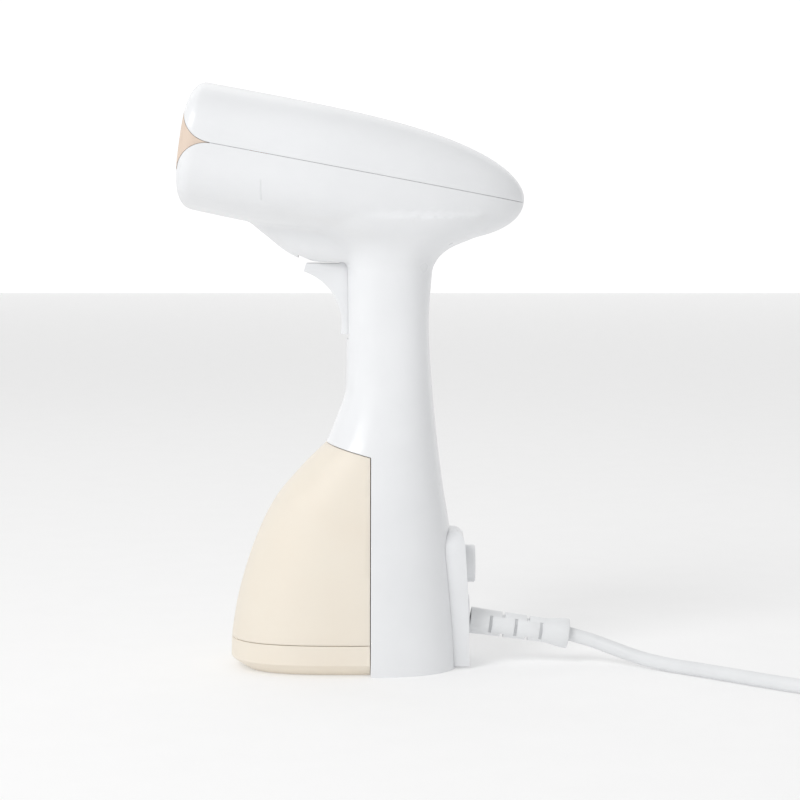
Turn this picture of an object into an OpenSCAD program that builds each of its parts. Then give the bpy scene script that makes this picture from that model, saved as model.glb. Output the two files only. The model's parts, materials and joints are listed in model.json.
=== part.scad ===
// Handheld garment steamer that stands on its own base.
// A whale-shaped head holds the boiler, a grip holds the trigger and the pump,
// and a removable water tank forms the front of the base.
// +X points to the rear, where the cord leaves, -X out of the nozzle, +Z up.

/* [Head] */
// Length of the head along its own axis
head_l = 163; // [145:1:190]
// Width of the head at the nozzle
head_w = 84; // [76:1:100]
// Height of the head's top above its parting line
head_up = 36; // [34:1:44]
// Depth of the head's belly below its parting line
head_down = 28.5; // [27:0.5:34]
// Droop of the head towards the rear, in degrees
head_tilt = 8; // [6:0.5:10]
// Radius of the upper lip beside the steam panel
lip_up_r = 14.4; // [13:0.1:15]
// Radius of the lower lip beside the steam panel
lip_low_r = 14; // [13:0.1:15]

/* [Grip] */
// Height of the grip between the tank and the head
grip_len = 82; // [80:1:99]
// Depth of the grip from front to rear
grip_d = 39.5; // [38:0.5:48]
// Width of the grip at its waist
grip_w = 38; // [38:1:46]

/* [Base and tank] */
// Height of the tank's front tip
tank_h = 105; // [100:1:126]
// Reach of the tank in front of the origin
tank_reach = 56.8; // [52:0.1:66]
// Width of the base
base_w = 80; // [76:1:96]
// Height of the seam between the tank and its floor
tank_seam_z = 14.7; // [13:0.1:17]
// Reach of the rear panel behind the origin
panel_reach = 55.4; // [54:0.1:58]
// Width of the rear panel
panel_w = 34; // [30:1:38]
// Height of the rear panel
panel_h = 61; // [60:1:66]

/* [Walls and gaps] */
// Wall of the housings
wall = 2.4; // [2:0.1:2.8]
// Wall of the tank
tank_wall = 2; // [1.6:0.1:2.4]
// Gap between the tank and the housing
dock_gap = 0.4; // [0.3:0.05:0.6]
// Gap at a seam between fixed shells
seam = 0.2; // [0.1:0.05:0.3]
// Radial clearance of a running fit
run_fit = 0.05; // [0.02:0.01:0.1]

/* [Trigger] */
// Width of the trigger
trigger_w = 15; // [12:0.5:16]
// Radius of the trigger's pivot pin
pivot_r = 1.5; // [1.2:0.1:1.9]
// Radius of the finger hollow in the trigger
finger_r = 25.9; // [25:0.1:28]

/* [Button and cord] */
// Radius of the power button
button_r = 8.8; // [7:0.1:9.5]
// Travel of the power button
button_travel = 1.8; // [1:0.1:2]
// Radius of the cord
cord_r = 3.25; // [2.8:0.05:3.3]
// Length of the strain relief
relief_l = 47.3; // [40:0.1:50]

/* [Pump and water path] */
// Radius of the pump's bore
pump_bore_r = 4.1; // [3.5:0.1:4.4]
// Radius of the tank's spout
spout_r = 5.5; // [5:0.1:6.5]
// Radius of the filler stopper
stopper_r = 7.9; // [7:0.1:9]
// Bore radius of the water tubes
tube_bore_r = 2; // [1.6:0.1:2.3]
// Wall of the water tubes
tube_wall = 1.3; // [1:0.1:1.5]

/* [Boiler] */
// Length of the boiler block
boiler_l = 84; // [76:1:88]
// Width of the boiler block
boiler_w = 50; // [44:1:52]
// Height of the boiler block
boiler_h = 16; // [14:0.5:18]
// Radius of the heating tube
heater_r = 3.25; // [3:0.05:3.6]

/* [Hidden] */

shell_sides = 36;
round_fn = 48;
thin_fn = 24;
eps = 0.01;

// Heights and planes that the pieces share
neck_z = tank_h + grip_len;
head_rise = 61.5;
mouth_x = -78.6;
mouth_z = neck_z + head_rise;
dock_x = 9;
dock_slope = 15.2;
roof_drop = (dock_x + 0.21 * tank_reach) * tan(dock_slope);
grip_front = -2.9;
grip_rear = grip_front + grip_d;
base_kick = 13.4;
span_y = 2 * base_w;

// Share of the tank's height, share of its reach
TANK_FRONT = [[0, 1], [0.08, 1], [0.17, 0.99], [0.35, 0.93], [0.57, 0.8], [0.75, 0.635],
              [0.9, 0.4], [1, 0.21]];
// Share of the neck's height, share of the kick from the waist to the base
GRIP_REAR = [[0, 1], [0.08, 0.96], [0.21, 0.85], [0.35, 0.71], [0.45, 0.49],
             [0.59, 0.25], [0.77, 0.04], [0.88, 0], [1, 0.12]];
// Share of the neck's height, share of the widening from the waist to the base
GRIP_SIDE = [[0, 1], [0.03, 1], [0.11, 0.96], [0.21, 0.86], [0.32, 0.71], [0.43, 0.55],
             [0.56, 0.29], [0.65, 0.12], [0.75, 0.02], [0.86, 0], [1, 0.05]];
// Height above the neck, then how far the grip has spread rearwards, sideways and forwards
NECK = [[0, 0, 0, 0], [3.6, 1.9, 0.8, 0.8], [6.8, 4.5, 1.8, 2], [10.6, 10.2, 3.5, 5],
        [14.4, 19.7, 6, 11], [19, 28, 9.5, 22], [25, 33, 13, 34]];
// Height above the neck, then the chin's front and half its width
CHIN = [[3.2, -21.5, 12.2], [3.9, -23.3, 13], [8.2, -31.4, 15.2], [14.9, -39.9, 17],
        [22, -48.5, 18.5], [30, -56, 20]];
chin_rear = 30;
nose_round = [7, 10.5, 6];

/* Curves and lofts */

// Smooth curve through the knots k, at x, from column c
function at(x, k, c = 1) =
    let (n = len(k),
         i = max([0, for (j = [0 : n - 2]) if (k[j][0] <= x) j]),
         a = k[i], b = k[i + 1], h = b[0] - a[0],
         t = max(0, min(1, (x - a[0]) / h)),
         s0 = i > 0 ? (b[c] - k[i - 1][c]) / (b[0] - k[i - 1][0]) : (b[c] - a[c]) / h,
         s1 = i < n - 2 ? (k[i + 2][c] - a[c]) / (k[i + 2][0] - a[0]) : (b[c] - a[c]) / h)
    a[c] * (1 + 2 * t) * (1 - t) * (1 - t) + b[c] * t * t * (3 - 2 * t)
    + h * (s0 * t * (1 - t) * (1 - t) + s1 * t * t * (t - 1));

// Unit superellipse of exponent n
function super(angle, n) =
    [sign(cos(angle)) * pow(abs(cos(angle)), 2 / n),
     sign(sin(angle)) * pow(abs(sin(angle)), 2 / n)];

module loft(rings) {
    n = len(rings[0]);
    m = len(rings);
    polyhedron(
        points = [for (r = rings) each r],
        faces = concat(
            [[for (i = [0 : n - 1]) i]],
            [for (j = [0 : m - 2]) for (i = [0 : n - 1])
                [j * n + i, (j + 1) * n + i, (j + 1) * n + (i + 1) % n]],
            [for (j = [0 : m - 2]) for (i = [0 : n - 1])
                [j * n + i, (j + 1) * n + (i + 1) % n, j * n + (i + 1) % n]],
            [[for (i = [n - 1 : -1 : 0]) (m - 1) * n + i]]),
        convexity = 8);
}

/* The head's form, in its own axes: x along the head, z up from the mouth */

module in_head() {
    translate([mouth_x, 0, mouth_z])
        rotate([0, head_tilt, 0])
            children();
}

function parting(s) = -0.35 - 7.45 * s / head_l;
function nose_inset(s, deep) =
    s < nose_round[0] ? deep * (1 - sqrt(1 - pow(1 - max(0, s) / nose_round[0], 2))) : 0;
function head_top(s) =
    let (u = min(1, s / head_l))
    parting(head_l) + head_up * (1 - 0.208 * u) * sqrt(1 - pow(u, 4.2))
    - nose_inset(s, nose_round[1]);
function head_bottom(s) =
    let (u = min(1, s / head_l))
    parting(head_l) - head_down * (0.86 + 0.14 * sin(90 * min(1, 2 * u))) * sqrt(1 - pow(u, 4.6))
    + nose_inset(s, nose_round[1]);
function head_half_w(s) =
    let (u = min(1, s / head_l))
    head_w / 2 * (1 - 0.12 * u) * sqrt(1 - pow(u, 3.2)) - nose_inset(s, nose_round[2]);

NOSE_STEPS = [for (i = [0 : 4]) nose_round[0] * (1 - cos(22.5 * i))];
TAIL_STEPS = [for (i = [1 : 14])
    nose_round[0] + (head_l - nose_round[0]) * (1 - pow(1 - i / 14, 1.8)) - (i == 14 ? 0.03 : 0)];

// Ring at s, between two angles, shrunk by k on every side, parted d from the parting line
function head_ring(s, k, from, to, d) =
    let (mid = parting(s) + d, up = head_top(s) - k - mid, down = mid - head_bottom(s) - k,
         w = max(0.3, head_half_w(s) - k), n = shell_sides * (to - from) / 360)
    [for (i = [0 : to - from == 360 ? n - 1 : n])
        let (a = from + (to - from) * i / n, p = super(a, a < 180 ? 2.5 : 2.8))
        [s, w * p[0], mid + (a < 180 ? max(0.3, up) : max(0.3, down)) * p[1]]];

module head_form(k = 0, from = 0, to = 360, d = 0) {
    last = head_l - k - (k > 0 ? 3 : 0);
    loft([for (s = concat(NOSE_STEPS, TAIL_STEPS)) if (s < last + eps)
        head_ring(max(s, k), k, from, to, d)]);
}

// The wedge between the lips that the steam panel fills
module mouth_zone(grow = 0) {
    rotate([90, 0, 0])
        linear_extrude(2 * head_w, center = true)
            difference() {
                translate([-5, -1 - lip_low_r])
                    square([5 + lip_up_r + grow, lip_up_r + lip_low_r]);
                translate([lip_up_r, lip_up_r - 1])
                    circle(lip_up_r - grow, $fn = round_fn);
                translate([lip_up_r, -1 - lip_low_r])
                    circle(lip_low_r - grow, $fn = round_fn);
            }
}

/* The grip's and base's form */

function body_front(z) =
    z <= tank_h ? -tank_reach * at(z / tank_h, TANK_FRONT)
    : at(z - tank_h, [[0, -0.21 * tank_reach], [17, grip_front - 2.3], [25, grip_front],
                      [grip_len, grip_front]]);
function body_rear(z) = grip_rear + base_kick * at(z / neck_z, GRIP_REAR);
function body_side(z) = grip_w / 2 + (base_w - grip_w) / 2 * at(z / neck_z, GRIP_SIDE);
function oval(front, rear, side, z, k, n) =
    let (c = (front + rear) / 2, a = (rear - front) / 2 - k, b = side - k)
    [for (i = [0 : shell_sides - 1])
        let (p = super(360 * i / shell_sides, n)) [c + a * p[0], b * p[1], z]];
function squareness(z) = 2.8 - 0.4 * min(1, z / tank_h);
function body_ring(z, k) =
    oval(body_front(z), body_rear(z), body_side(z), z, k, squareness(z));
function neck_ring(j, k) =
    oval(grip_front - NECK[j][3], body_rear(neck_z) + NECK[j][1],
         body_side(neck_z) + NECK[j][2], neck_z + NECK[j][0], k, 2.4);
function chin_ring(j, k) =
    oval(CHIN[j][1], chin_rear, CHIN[j][2], neck_z + CHIN[j][0], k, 2.4);

BODY_STEPS = [0, 0.08, 0.17, 0.26, 0.35, 0.43, 0.5, 0.56, 0.6, 0.65, 0.7, 0.78, 0.88, 0.95];

// The inner form, shrunk by k, also opens the housing's underside
module grip_form(k = 0) {
    loft(concat([if (k > 0) oval(body_front(0), body_rear(0), body_side(0), -5, k, squareness(0))],
                [for (u = BODY_STEPS) body_ring(u * neck_z, k)],
                [for (j = [0 : len(NECK) - 1]) neck_ring(j, k)]));
}

module chin_form(k = 0) {
    translate([0, 0, k])
        loft([for (j = [0 : len(CHIN) - 1]) chin_ring(j, k)]);
}

// The space in front of the dock plane and under the sloping roof, grown by g
module tank_zone(g = 0) {
    roof_z = tank_h - roof_drop + g / cos(dock_slope);
    rotate([90, 0, 0])
        linear_extrude(span_y, center = true)
            polygon([[-2 * base_w, -1], [dock_x + g, -1],
                     [dock_x + g, roof_z - g * tan(dock_slope)],
                     [-2 * base_w, roof_z + (2 * base_w + dock_x) * tan(dock_slope)]]);
}

/* Housing shells */

trigger_gap = 0.4;
trigger_low_z = neck_z - 31;
pivot = [-2, neck_z + 10.5];
post_r = 3.8;
screw_r = 1.4;
screw_head_r = 2.7;
// Places of the screws that join the two housings, in x and z
SCREWS = [[mouth_x + 18, mouth_z - 26.5], [59, mouth_z - 36.5], [5.2, neck_z - 38.3],
          [2, tank_h + 11], [38, 0.39 * neck_z], [13.4, 0.44 * neck_z]];
web_y = 6;
// Half the base's inner width at x, from the section of its shell
base_mid = (grip_rear + base_kick - tank_reach) / 2;
base_half = (grip_rear + base_kick + tank_reach) / 2 - wall;
function base_in(x) = (base_w / 2 - wall)
    * pow(1 - pow(abs(x - base_mid) / base_half, squareness(0)), 1 / squareness(0));
base_screw_x = 29;
base_screw = [base_screw_x, base_in(base_screw_x) - 3.425];
base_post_r = 3.9;
base_post_h = 12;
plate_low = 0.6;
plate_t = 2.4;
spout_z = 22;
dock_nose_r = spout_r + 2.8;
panel_gap = 0.25;

module panel_outline(grow) {
    r = 11 + grow;
    w = panel_w / 2 + grow;
    low = 1.2 - grow;
    top = panel_h + 3 + grow;
    union() {
        translate([low, -w + r])
            square([top - low, 2 * w - 2 * r]);
        translate([low, -w])
            square([top - r - low, 2 * w]);
        for (y = [-1, 1])
            translate([top - r, y * (w - r)])
                circle(r, $fn = round_fn);
    }
}

// Block along +X whose section is the rear panel's outline
module panel_prism(grow, from, to) {
    translate([from, 0, 0])
        rotate([0, -90, 0])
            mirror([0, 0, 1])
                linear_extrude(to - from)
                    panel_outline(grow);
}

module lower_form() {
    in_head()
        head_form(0, 180, 360, -seam);
    grip_form();
    chin_form();
}

module cavity() {
    difference() {
        union() {
            in_head()
                head_form(wall);
            grip_form(wall);
            chin_form(wall);
        }
        tank_zone(dock_gap + wall);
    }
}

// Ribs under the boiler, and the posts that the screws go into
module ribs_and_posts() {
    rib_low = -30;
    in_head()
        intersection() {
            head_form(0, 180, 360, -seam);
            for (s = [boiler_s + 6, boiler_s + 0.56 * boiler_l])
                translate([s, -head_w, rib_low])
                    cube([2, 2 * head_w, boiler_t - seam - rib_low]);
        }
    intersection() {
        lower_form();
        union() {
            for (p = SCREWS)
                translate([p[0], 0, p[1]])
                    rotate([90, 0, 0])
                        cylinder(r = post_r, h = span_y, center = true, $fn = thin_fn);
            for (y = [-1, 1])
                translate([base_screw[0], y * base_screw[1], plate_low + plate_t + 0.1])
                    cylinder(r = base_post_r, h = base_post_h, $fn = thin_fn);
        }
    }
}

module trigger_slot() {
    w = trigger_w + 2 * trigger_gap;
    translate([-32, -w / 2, trigger_low_z - 2.4])
        cube([40, w, neck_z - trigger_low_z + 2.4 + 3.3]);
    translate([-25.5, -w / 2, neck_z - 1])
        cube([33, w, 9]);
}

module housing_half(side) {
    resize([0, 0, 0])
        intersection() {
            difference() {
                union() {
                    difference() {
                        lower_form();
                        cavity();
                    }
                    ribs_and_posts();
                }
                tank_zone(dock_gap);
                trigger_slot();
                in_head()
                    mouth_zone(seam);
                panel_prism(panel_gap, 42, 70);
                translate([0, 0, spout_z])
                    rotate([0, 90, 0])
                        cylinder(r = dock_nose_r + 0.3, h = 16, $fn = thin_fn);
                for (y = [-1, 1])
                    translate([base_screw[0], y * base_screw[1], 0])
                        cylinder(r = screw_r + 0.15, h = 13, $fn = 12);
                for (p = SCREWS)
                    translate([p[0], 0, p[1]])
                        rotate([90, 0, 0]) {
                            cylinder(r = screw_r + 0.15, h = 26, center = true, $fn = 12);
                            translate([0, 0, -span_y / 2 - web_y])
                                cylinder(r = screw_head_r + 0.4, h = span_y / 2, $fn = 20);
                        }
            }
            translate([-2 * head_l, side > 0 ? seam / 4 : -span_y - seam / 4, -10])
                cube([4 * head_l, span_y, 2 * mouth_z]);
        }
}

module left_housing() {
    color("white")
        housing_half(-1);
}

module right_housing() {
    color("white")
        housing_half(1);
}

module head_cover() {
    color("white")
        in_head()
            resize([0, 0, 0])
                difference() {
                    head_form(0, 0, 180);
                    head_form(wall);
                    mouth_zone(seam);
                }
}

hole_pitch = 7;

module steam_panel() {
    color("tan")
        in_head()
            resize([0, 0, 0])
                difference() {
                    intersection() {
                        head_form(0.05);
                        mouth_zone();
                    }
                    head_form(wall);
                    for (t = [-6, 4], i = [-4 : 4])
                        translate([-1, i * hole_pitch, t])
                            rotate([0, 90, 0])
                                cylinder(r = 1.6, h = 6, $fn = 10);
                }
}

module screw(length, shank, head, head_h) {
    recess = 0.8;
    cylinder(r = shank, h = length + 0.2, $fn = thin_fn);
    translate([0, 0, length])
        difference() {
            cylinder(r = head, h = head_h, $fn = thin_fn);
            for (a = [0, 90])
                rotate([0, 0, a])
                    translate([-head * 0.6, -0.4, head_h - recess])
                        cube([head * 1.2, 0.8, 1]);
        }
}

module housing_screws() {
    color("silver")
        for (p = SCREWS)
            translate([p[0], -10, p[1]])
                rotate([-90, 0, 0])
                    screw(10 + web_y, screw_r, screw_head_r, 2.2);
}

/* Boiler and steam path, in the head's axes */

boiler_s = 32;
boiler_t = -18;
boiler_top = boiler_t + boiler_h;
rim = 6;
heater_y = 13;
heater_t = boiler_t + 6;
inlet_x = 21;
tube_r = tube_bore_r + tube_wall;

module boiler_block() {
    color("silver")
        difference() {
            union() {
                in_head()
                    translate([boiler_s, -boiler_w / 2, boiler_t])
                        cube([boiler_l, boiler_w, boiler_h]);
                translate([inlet_x, 0, neck_z + 24])
                    cylinder(r = 6, h = 10, $fn = round_fn);
            }
            in_head() {
                translate([boiler_s + rim, -boiler_w / 2 + rim, boiler_top - 5])
                    cube([boiler_l - 2 * rim, boiler_w - 2 * rim, 6]);
                translate([boiler_s - 1, -9, boiler_top - 4.5])
                    cube([rim + 2, 18, 3.5]);
                heater(heater_r + 0.1);
                for (p = boiler_bolts)
                    translate([p[0], p[1], boiler_top - 8])
                        cylinder(r = 1.3, h = 9, $fn = thin_fn);
            }
            translate([inlet_x, 0, neck_z + 20])
                cylinder(r = 2.5, h = 22, $fn = round_fn);
        }
}

boiler_bolts = [for (i = [0 : 2], y = [-1, 1])
    [boiler_s + rim / 2 + i * (boiler_l - rim) / 2, y * (boiler_w - rim) / 2]];

module boiler_lid(t, h, hole_r) {
    in_head()
        difference() {
            translate([boiler_s, -boiler_w / 2, t])
                cube([boiler_l, boiler_w, h]);
            for (p = boiler_bolts)
                translate([p[0], p[1], t - 1])
                    cylinder(r = hole_r, h = h + 2, $fn = thin_fn);
            children();
        }
}

module boiler_gasket() {
    color("darkorange")
        boiler_lid(boiler_top, 1, 1.6)
            translate([boiler_s + rim, -boiler_w / 2 + rim, boiler_top - 1])
                cube([boiler_l - 2 * rim, boiler_w - 2 * rim, 3]);
}

module boiler_cover() {
    color("gainsboro")
        boiler_lid(boiler_top + 1, 2.5, 1.6);
}

module boiler_screws() {
    color("dimgray")
        in_head()
            for (p = boiler_bolts)
                translate([p[0], p[1], boiler_top - 7.5])
                    screw(11, 1.25, 2.6, 2);
}

// U-shaped heating tube with its cold ends behind the block
module heater(r) {
    bend_s = boiler_s + 8 + heater_y;
    for (y = [-1, 1])
        translate([bend_s, y * heater_y, heater_t])
            rotate([0, 90, 0])
                cylinder(r = r, h = boiler_s + boiler_l + 8 - bend_s, $fn = round_fn);
    translate([bend_s, 0, heater_t])
        rotate([0, 0, 90])
            rotate_extrude(angle = 180, $fn = round_fn)
                translate([heater_y, 0])
                    circle(r, $fn = round_fn);
}

module heating_element() {
    color("dimgray")
        in_head() {
            heater(heater_r);
            for (y = [-1, 1])
                translate([boiler_s + boiler_l + 8, y * heater_y, heater_t])
                    rotate([0, 90, 0])
                        cylinder(r = 1, h = 5, $fn = thin_fn);
        }
}

module steam_chamber() {
    color("beige")
        in_head()
            difference() {
                union() {
                    translate([wall + 0.15, -31, -10])
                        cube([4, 62, 19]);
                    translate([wall + 4, -12, -9])
                        cube([boiler_s - wall - 4.2, 24, 8.5]);
                }
                translate([wall - 1, -29.5, -8.5])
                    cube([4, 59, 16]);
                translate([wall, -10.5, -7.5])
                    cube([boiler_s, 21, 5.5]);
            }
}

module thermostat() {
    color("silver")
        in_head()
            translate([boiler_s + 0.3 * boiler_l, 0, boiler_top + 3.5]) {
                cylinder(r = 8, h = 2, $fn = round_fn);
                translate([0, 0, 2])
                    cylinder(r = 7, h = 4, $fn = round_fn);
                for (y = [-1, 1])
                    translate([-2, y * 4 - 0.4, 6])
                        cube([4, 0.8, 4]);
            }
}

module thermal_fuse() {
    color("tan")
        in_head()
            translate([boiler_s + 0.62 * boiler_l, -9, boiler_top + 5.5])
                rotate([-90, 0, 0]) {
                    cylinder(r = 2, h = 18, $fn = thin_fn);
                    translate([-1, -1, -5])
                        cube([0.8, 0.8, 28]);
                }
}

module inlet_nipple() {
    color("goldenrod")
        translate([inlet_x, 0, 0])
            difference() {
                union() {
                    translate([0, 0, neck_z + 12])
                        cylinder(r = tube_bore_r, h = 10, $fn = round_fn);
                    translate([0, 0, neck_z + 21])
                        cylinder(r = 4.6, h = 3, $fn = 6);
                    translate([0, 0, neck_z + 24])
                        cylinder(r = 2.45, h = 8, $fn = round_fn);
                }
                translate([0, 0, neck_z + 10])
                    cylinder(r = 1, h = 24, $fn = thin_fn);
            }
}

/* Trigger group */

frame_y = trigger_w / 2 + 0.7;
frame_t = 2;
ear_r = 3.9;
plate_x = 13.2;
tab_x = -22.6;
hub_r = 4.3;
nub = [3, neck_z - 6];
spring_z = trigger_low_z + 7;

module along_y(w) {
    rotate([90, 0, 0])
        linear_extrude(w, center = true)
            children();
}

module trigger() {
    color("white")
        difference() {
            union() {
                along_y(trigger_w)
                    polygon([[tab_x, neck_z - 1], [tab_x + 1, neck_z + 2.6],
                             [pivot[0] - hub_r + 0.6, neck_z + 2.6],
                             [pivot[0] - hub_r + 0.6, pivot[1] - 1],
                             [pivot[0] + hub_r - 0.6, pivot[1] - 1],
                             [nub[0], neck_z + 1], [nub[0], neck_z - 9], [1, neck_z - 11],
                             [1, trigger_low_z + 2], [-1.5, trigger_low_z],
                             [-5.2, trigger_low_z + 0.3], [tab_x, neck_z - 1.5]]);
                along_y(trigger_w)
                    translate(pivot)
                        circle(hub_r, $fn = round_fn);
                along_y(6)
                    translate(nub)
                        circle(1.2, $fn = thin_fn);
            }
            along_y(2 * trigger_w)
                translate([-30.6, neck_z - 26])
                    circle(finger_r, $fn = 96);
            along_y(2 * trigger_w)
                translate(pivot)
                    circle(pivot_r + run_fit, $fn = round_fn);
            translate([-0.8, 0, spring_z])
                rotate([0, 90, 0])
                    cylinder(r = 3.4, h = 4, $fn = round_fn);
        }
}

module trigger_pin() {
    color("silver")
        translate([pivot[0], 0, pivot[1]])
            rotate([90, 0, 0])
                cylinder(r = pivot_r, h = 2 * (frame_y + frame_t), center = true, $fn = round_fn);
}

// Helical spring standing on z = 0
module coil_spring(r, wire, turns, length) {
    steps = 10;
    sides = 6;
    rise = (length - 2 * wire) / (turns * steps);
    loft([for (i = [0 : turns * steps])
        let (a = 360 * i / steps)
        [for (j = [0 : sides - 1])
            let (b = 360 * j / sides, q = r + wire * cos(b))
            [q * cos(a), q * sin(a), wire + rise * i - wire * sin(b)]]]);
}

module trigger_spring() {
    color("silver")
        translate([-0.7, 0, spring_z])
            rotate([0, 90, 0])
                coil_spring(2.6, 0.35, 6, plate_x + 0.6);
}

module grip_frame() {
    color("lightsteelblue")
        difference() {
            union() {
                for (y = [-1, 1])
                    translate([0, y * (frame_y + frame_t / 2), 0])
                        along_y(frame_t)
                            union() {
                                translate(pivot)
                                    circle(ear_r, $fn = round_fn);
                                translate([pivot[0], pivot[1] - ear_r])
                                    square([plate_x + frame_t - pivot[0], 2 * ear_r]);
                            }
                translate([plate_x, -frame_y - frame_t, trigger_low_z])
                    cube([frame_t, 2 * (frame_y + frame_t), pivot[1] + ear_r - trigger_low_z]);
            }
            translate([pivot[0], 0, pivot[1]])
                rotate([90, 0, 0])
                    cylinder(r = pivot_r, h = 40, center = true, $fn = round_fn);
        }
}

switch_z = neck_z - 18;
lever_x = 5.6;
lever_z = switch_z + 1.5;
lever_pin_r = 0.5;

module switch_body() {
    color("dimgray")
        difference() {
            union() {
                translate([7.6, -3.2, switch_z])
                    cube([plate_x - 7.6, 6.4, 14]);
                for (y = [-3.2, 2.3])
                    translate([lever_x - 1, y, lever_z - 1.1])
                        cube([9 - lever_x, 0.9, 2.2]);
            }
            translate([lever_x, 0, lever_z])
                rotate([90, 0, 0])
                    cylinder(r = lever_pin_r, h = 10, center = true, $fn = thin_fn);
        }
}

module switch_pin() {
    color("silver")
        translate([lever_x, 0, lever_z])
            rotate([90, 0, 0])
                cylinder(r = lever_pin_r, h = 6.4, center = true, $fn = thin_fn);
}

module switch_lever() {
    color("silver")
        difference() {
            union() {
                translate([lever_x, 0, lever_z])
                    rotate([90, 0, 0])
                        cylinder(r = 1.05, h = 4, center = true, $fn = thin_fn);
                translate([lever_x - 1.05, -2, lever_z])
                    cube([0.5, 4, 10.5]);
            }
            translate([lever_x, 0, lever_z])
                rotate([90, 0, 0])
                    cylinder(r = lever_pin_r + run_fit, h = 6, center = true, $fn = thin_fn);
        }
}

/* Pump, tubes and wires */

pump_low = 0.59 * neck_z - 5;
pump_l = 50;
barb_l = 6;
coil_low = pump_low + 10;
coil_h = 28;
plunger_low = pump_low + 14;
plunger_l = 22;

module stacked_turn(points) {
    rotate_extrude($fn = round_fn)
        polygon(points);
}

module pump_body() {
    out_r = pump_bore_r + 1.5;
    color("ivory")
        translate([inlet_x, 0, pump_low])
            stacked_turn([[1, -barb_l], [tube_bore_r, -barb_l], [tube_bore_r, 0], [out_r, 0],
                          [out_r, pump_l], [tube_bore_r, pump_l], [tube_bore_r, pump_l + barb_l],
                          [1, pump_l + barb_l], [1, pump_l - 4], [pump_bore_r, pump_l - 4],
                          [pump_bore_r, 4], [1, 4]]);
}

module pump_coil() {
    color("saddlebrown")
        translate([inlet_x, 0, coil_low])
            difference() {
                cylinder(r = 10, h = coil_h, $fn = round_fn);
                translate([0, 0, -1])
                    cylinder(r = pump_bore_r + 1.6, h = coil_h + 2, $fn = round_fn);
            }
}

module pump_yoke() {
    color("gray")
        difference() {
            translate([inlet_x - 8, -12, coil_low - 1.7])
                cube([15, 24, coil_h + 3.4]);
            translate([inlet_x - 9, -10.4, coil_low - 0.1])
                cube([17, 20.8, coil_h + 0.2]);
            translate([inlet_x, 0, coil_low - 5])
                cylinder(r = pump_bore_r + 1.6, h = coil_h + 10, $fn = round_fn);
        }
}

module pump_plunger() {
    color("silver")
        translate([inlet_x, 0, plunger_low])
            difference() {
                cylinder(r = pump_bore_r - run_fit, h = plunger_l, $fn = round_fn);
                translate([0, 0, -1])
                    cylinder(r = 0.9, h = plunger_l + 2, $fn = thin_fn);
            }
}

module pump_spring() {
    color("silver")
        translate([inlet_x, 0, plunger_low + plunger_l])
            coil_spring(3.1, 0.4, 5, pump_low + pump_l - 4 - plunger_low - plunger_l);
}

module water_tube(low, high) {
    translate([inlet_x, 0, low])
        difference() {
            cylinder(r = tube_r, h = high - low, $fn = round_fn);
            translate([0, 0, -1])
                cylinder(r = tube_bore_r, h = high - low + 2, $fn = round_fn);
        }
}

module inlet_tube() {
    color("lightgray")
        water_tube(spout_z + dock_nose_r + 1, pump_low);
}

module outlet_tube() {
    color("lightgray")
        water_tube(pump_low + pump_l, neck_z + 20);
}

wire_r = 0.9;
wire_x = 31.6;

module supply_wires() {
    color("firebrick")
        for (y = [-4, 4])
            translate([0, y, 0]) {
                translate([wire_x, 0, board_z + board_h / 2])
                    cylinder(r = wire_r, h = neck_z + 18 - board_z - board_h / 2, $fn = thin_fn);
                translate([wire_x, 0, board_z + board_h / 2])
                    sphere(wire_r, $fn = thin_fn);
                translate([wire_x, 0, board_z + board_h / 2])
                    rotate([0, 90, 0])
                        cylinder(r = wire_r, h = board_x - wire_x, $fn = thin_fn);
            }
}

/* Tank group, which slides off along -X */

module tank_shell() {
    low = tank_seam_z;
    color([0.96, 0.89, 0.81, 0.7])
        resize([0, 0, 0])
            difference() {
                intersection() {
                    tank_form(0);
                    tank_zone();
                }
                intersection() {
                    tank_form(tank_wall);
                    tank_zone(-tank_wall);
                }
                translate([0, 0, spout_z])
                    rotate([0, 90, 0])
                        cylinder(r = spout_r + 0.3, h = 20, $fn = thin_fn);
                translate([-2 * base_w, -base_w, -base_w])
                    cube([4 * base_w, 2 * base_w, base_w + low]);
            }
}

TANK_STEPS = [0.05, 0.14, 0.23, 0.32, 0.41, 0.5, 0.59, 0.68, 0.76, 0.84, 0.92, 1, 1.05];

module tank_form(k) {
    loft([for (u = TANK_STEPS) body_ring(u * tank_h, k)]);
}

stopper_x = -20;
floor_t = 4.8;
foot_inset = 8;
lip_z = 5.5;

module tank_floor() {
    color([0.93, 0.85, 0.76, 0.8])
        resize([0, 0, 0])
            difference() {
                intersection() {
                    loft([body_ring(0, foot_inset), body_ring(lip_z, 0),
                          body_ring(tank_seam_z - 0.05, 0)]);
                    tank_zone();
                }
                intersection() {
                    loft([body_ring(floor_t, tank_wall + 2), body_ring(floor_t + 4, tank_wall),
                          body_ring(tank_seam_z + 1, tank_wall)]);
                    tank_zone(-tank_wall);
                }
                translate([stopper_x, 0, -1]) {
                    cylinder(r = stopper_r + 0.3, h = 20, $fn = 32);
                    cylinder(r = stopper_r + 3, h = 3.4, $fn = 32);
                }
            }
}

module tank_stopper() {
    color("gainsboro")
        translate([stopper_x, 0, 0]) {
            translate([0, 0, 0.6])
                cylinder(r = stopper_r + 2.2, h = 1.6, $fn = round_fn);
            translate([0, 0, 2.2])
                cylinder(r = stopper_r, h = 4, $fn = round_fn);
        }
}

valve_bore_r = spout_r - 1.9;
valve_seat_x = 12;
valve_end_x = 22;
stem_r = 1;
seal_x = 16.5;

module on_spout() {
    translate([0, 0, spout_z])
        rotate([0, 90, 0])
            children();
}

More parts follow.
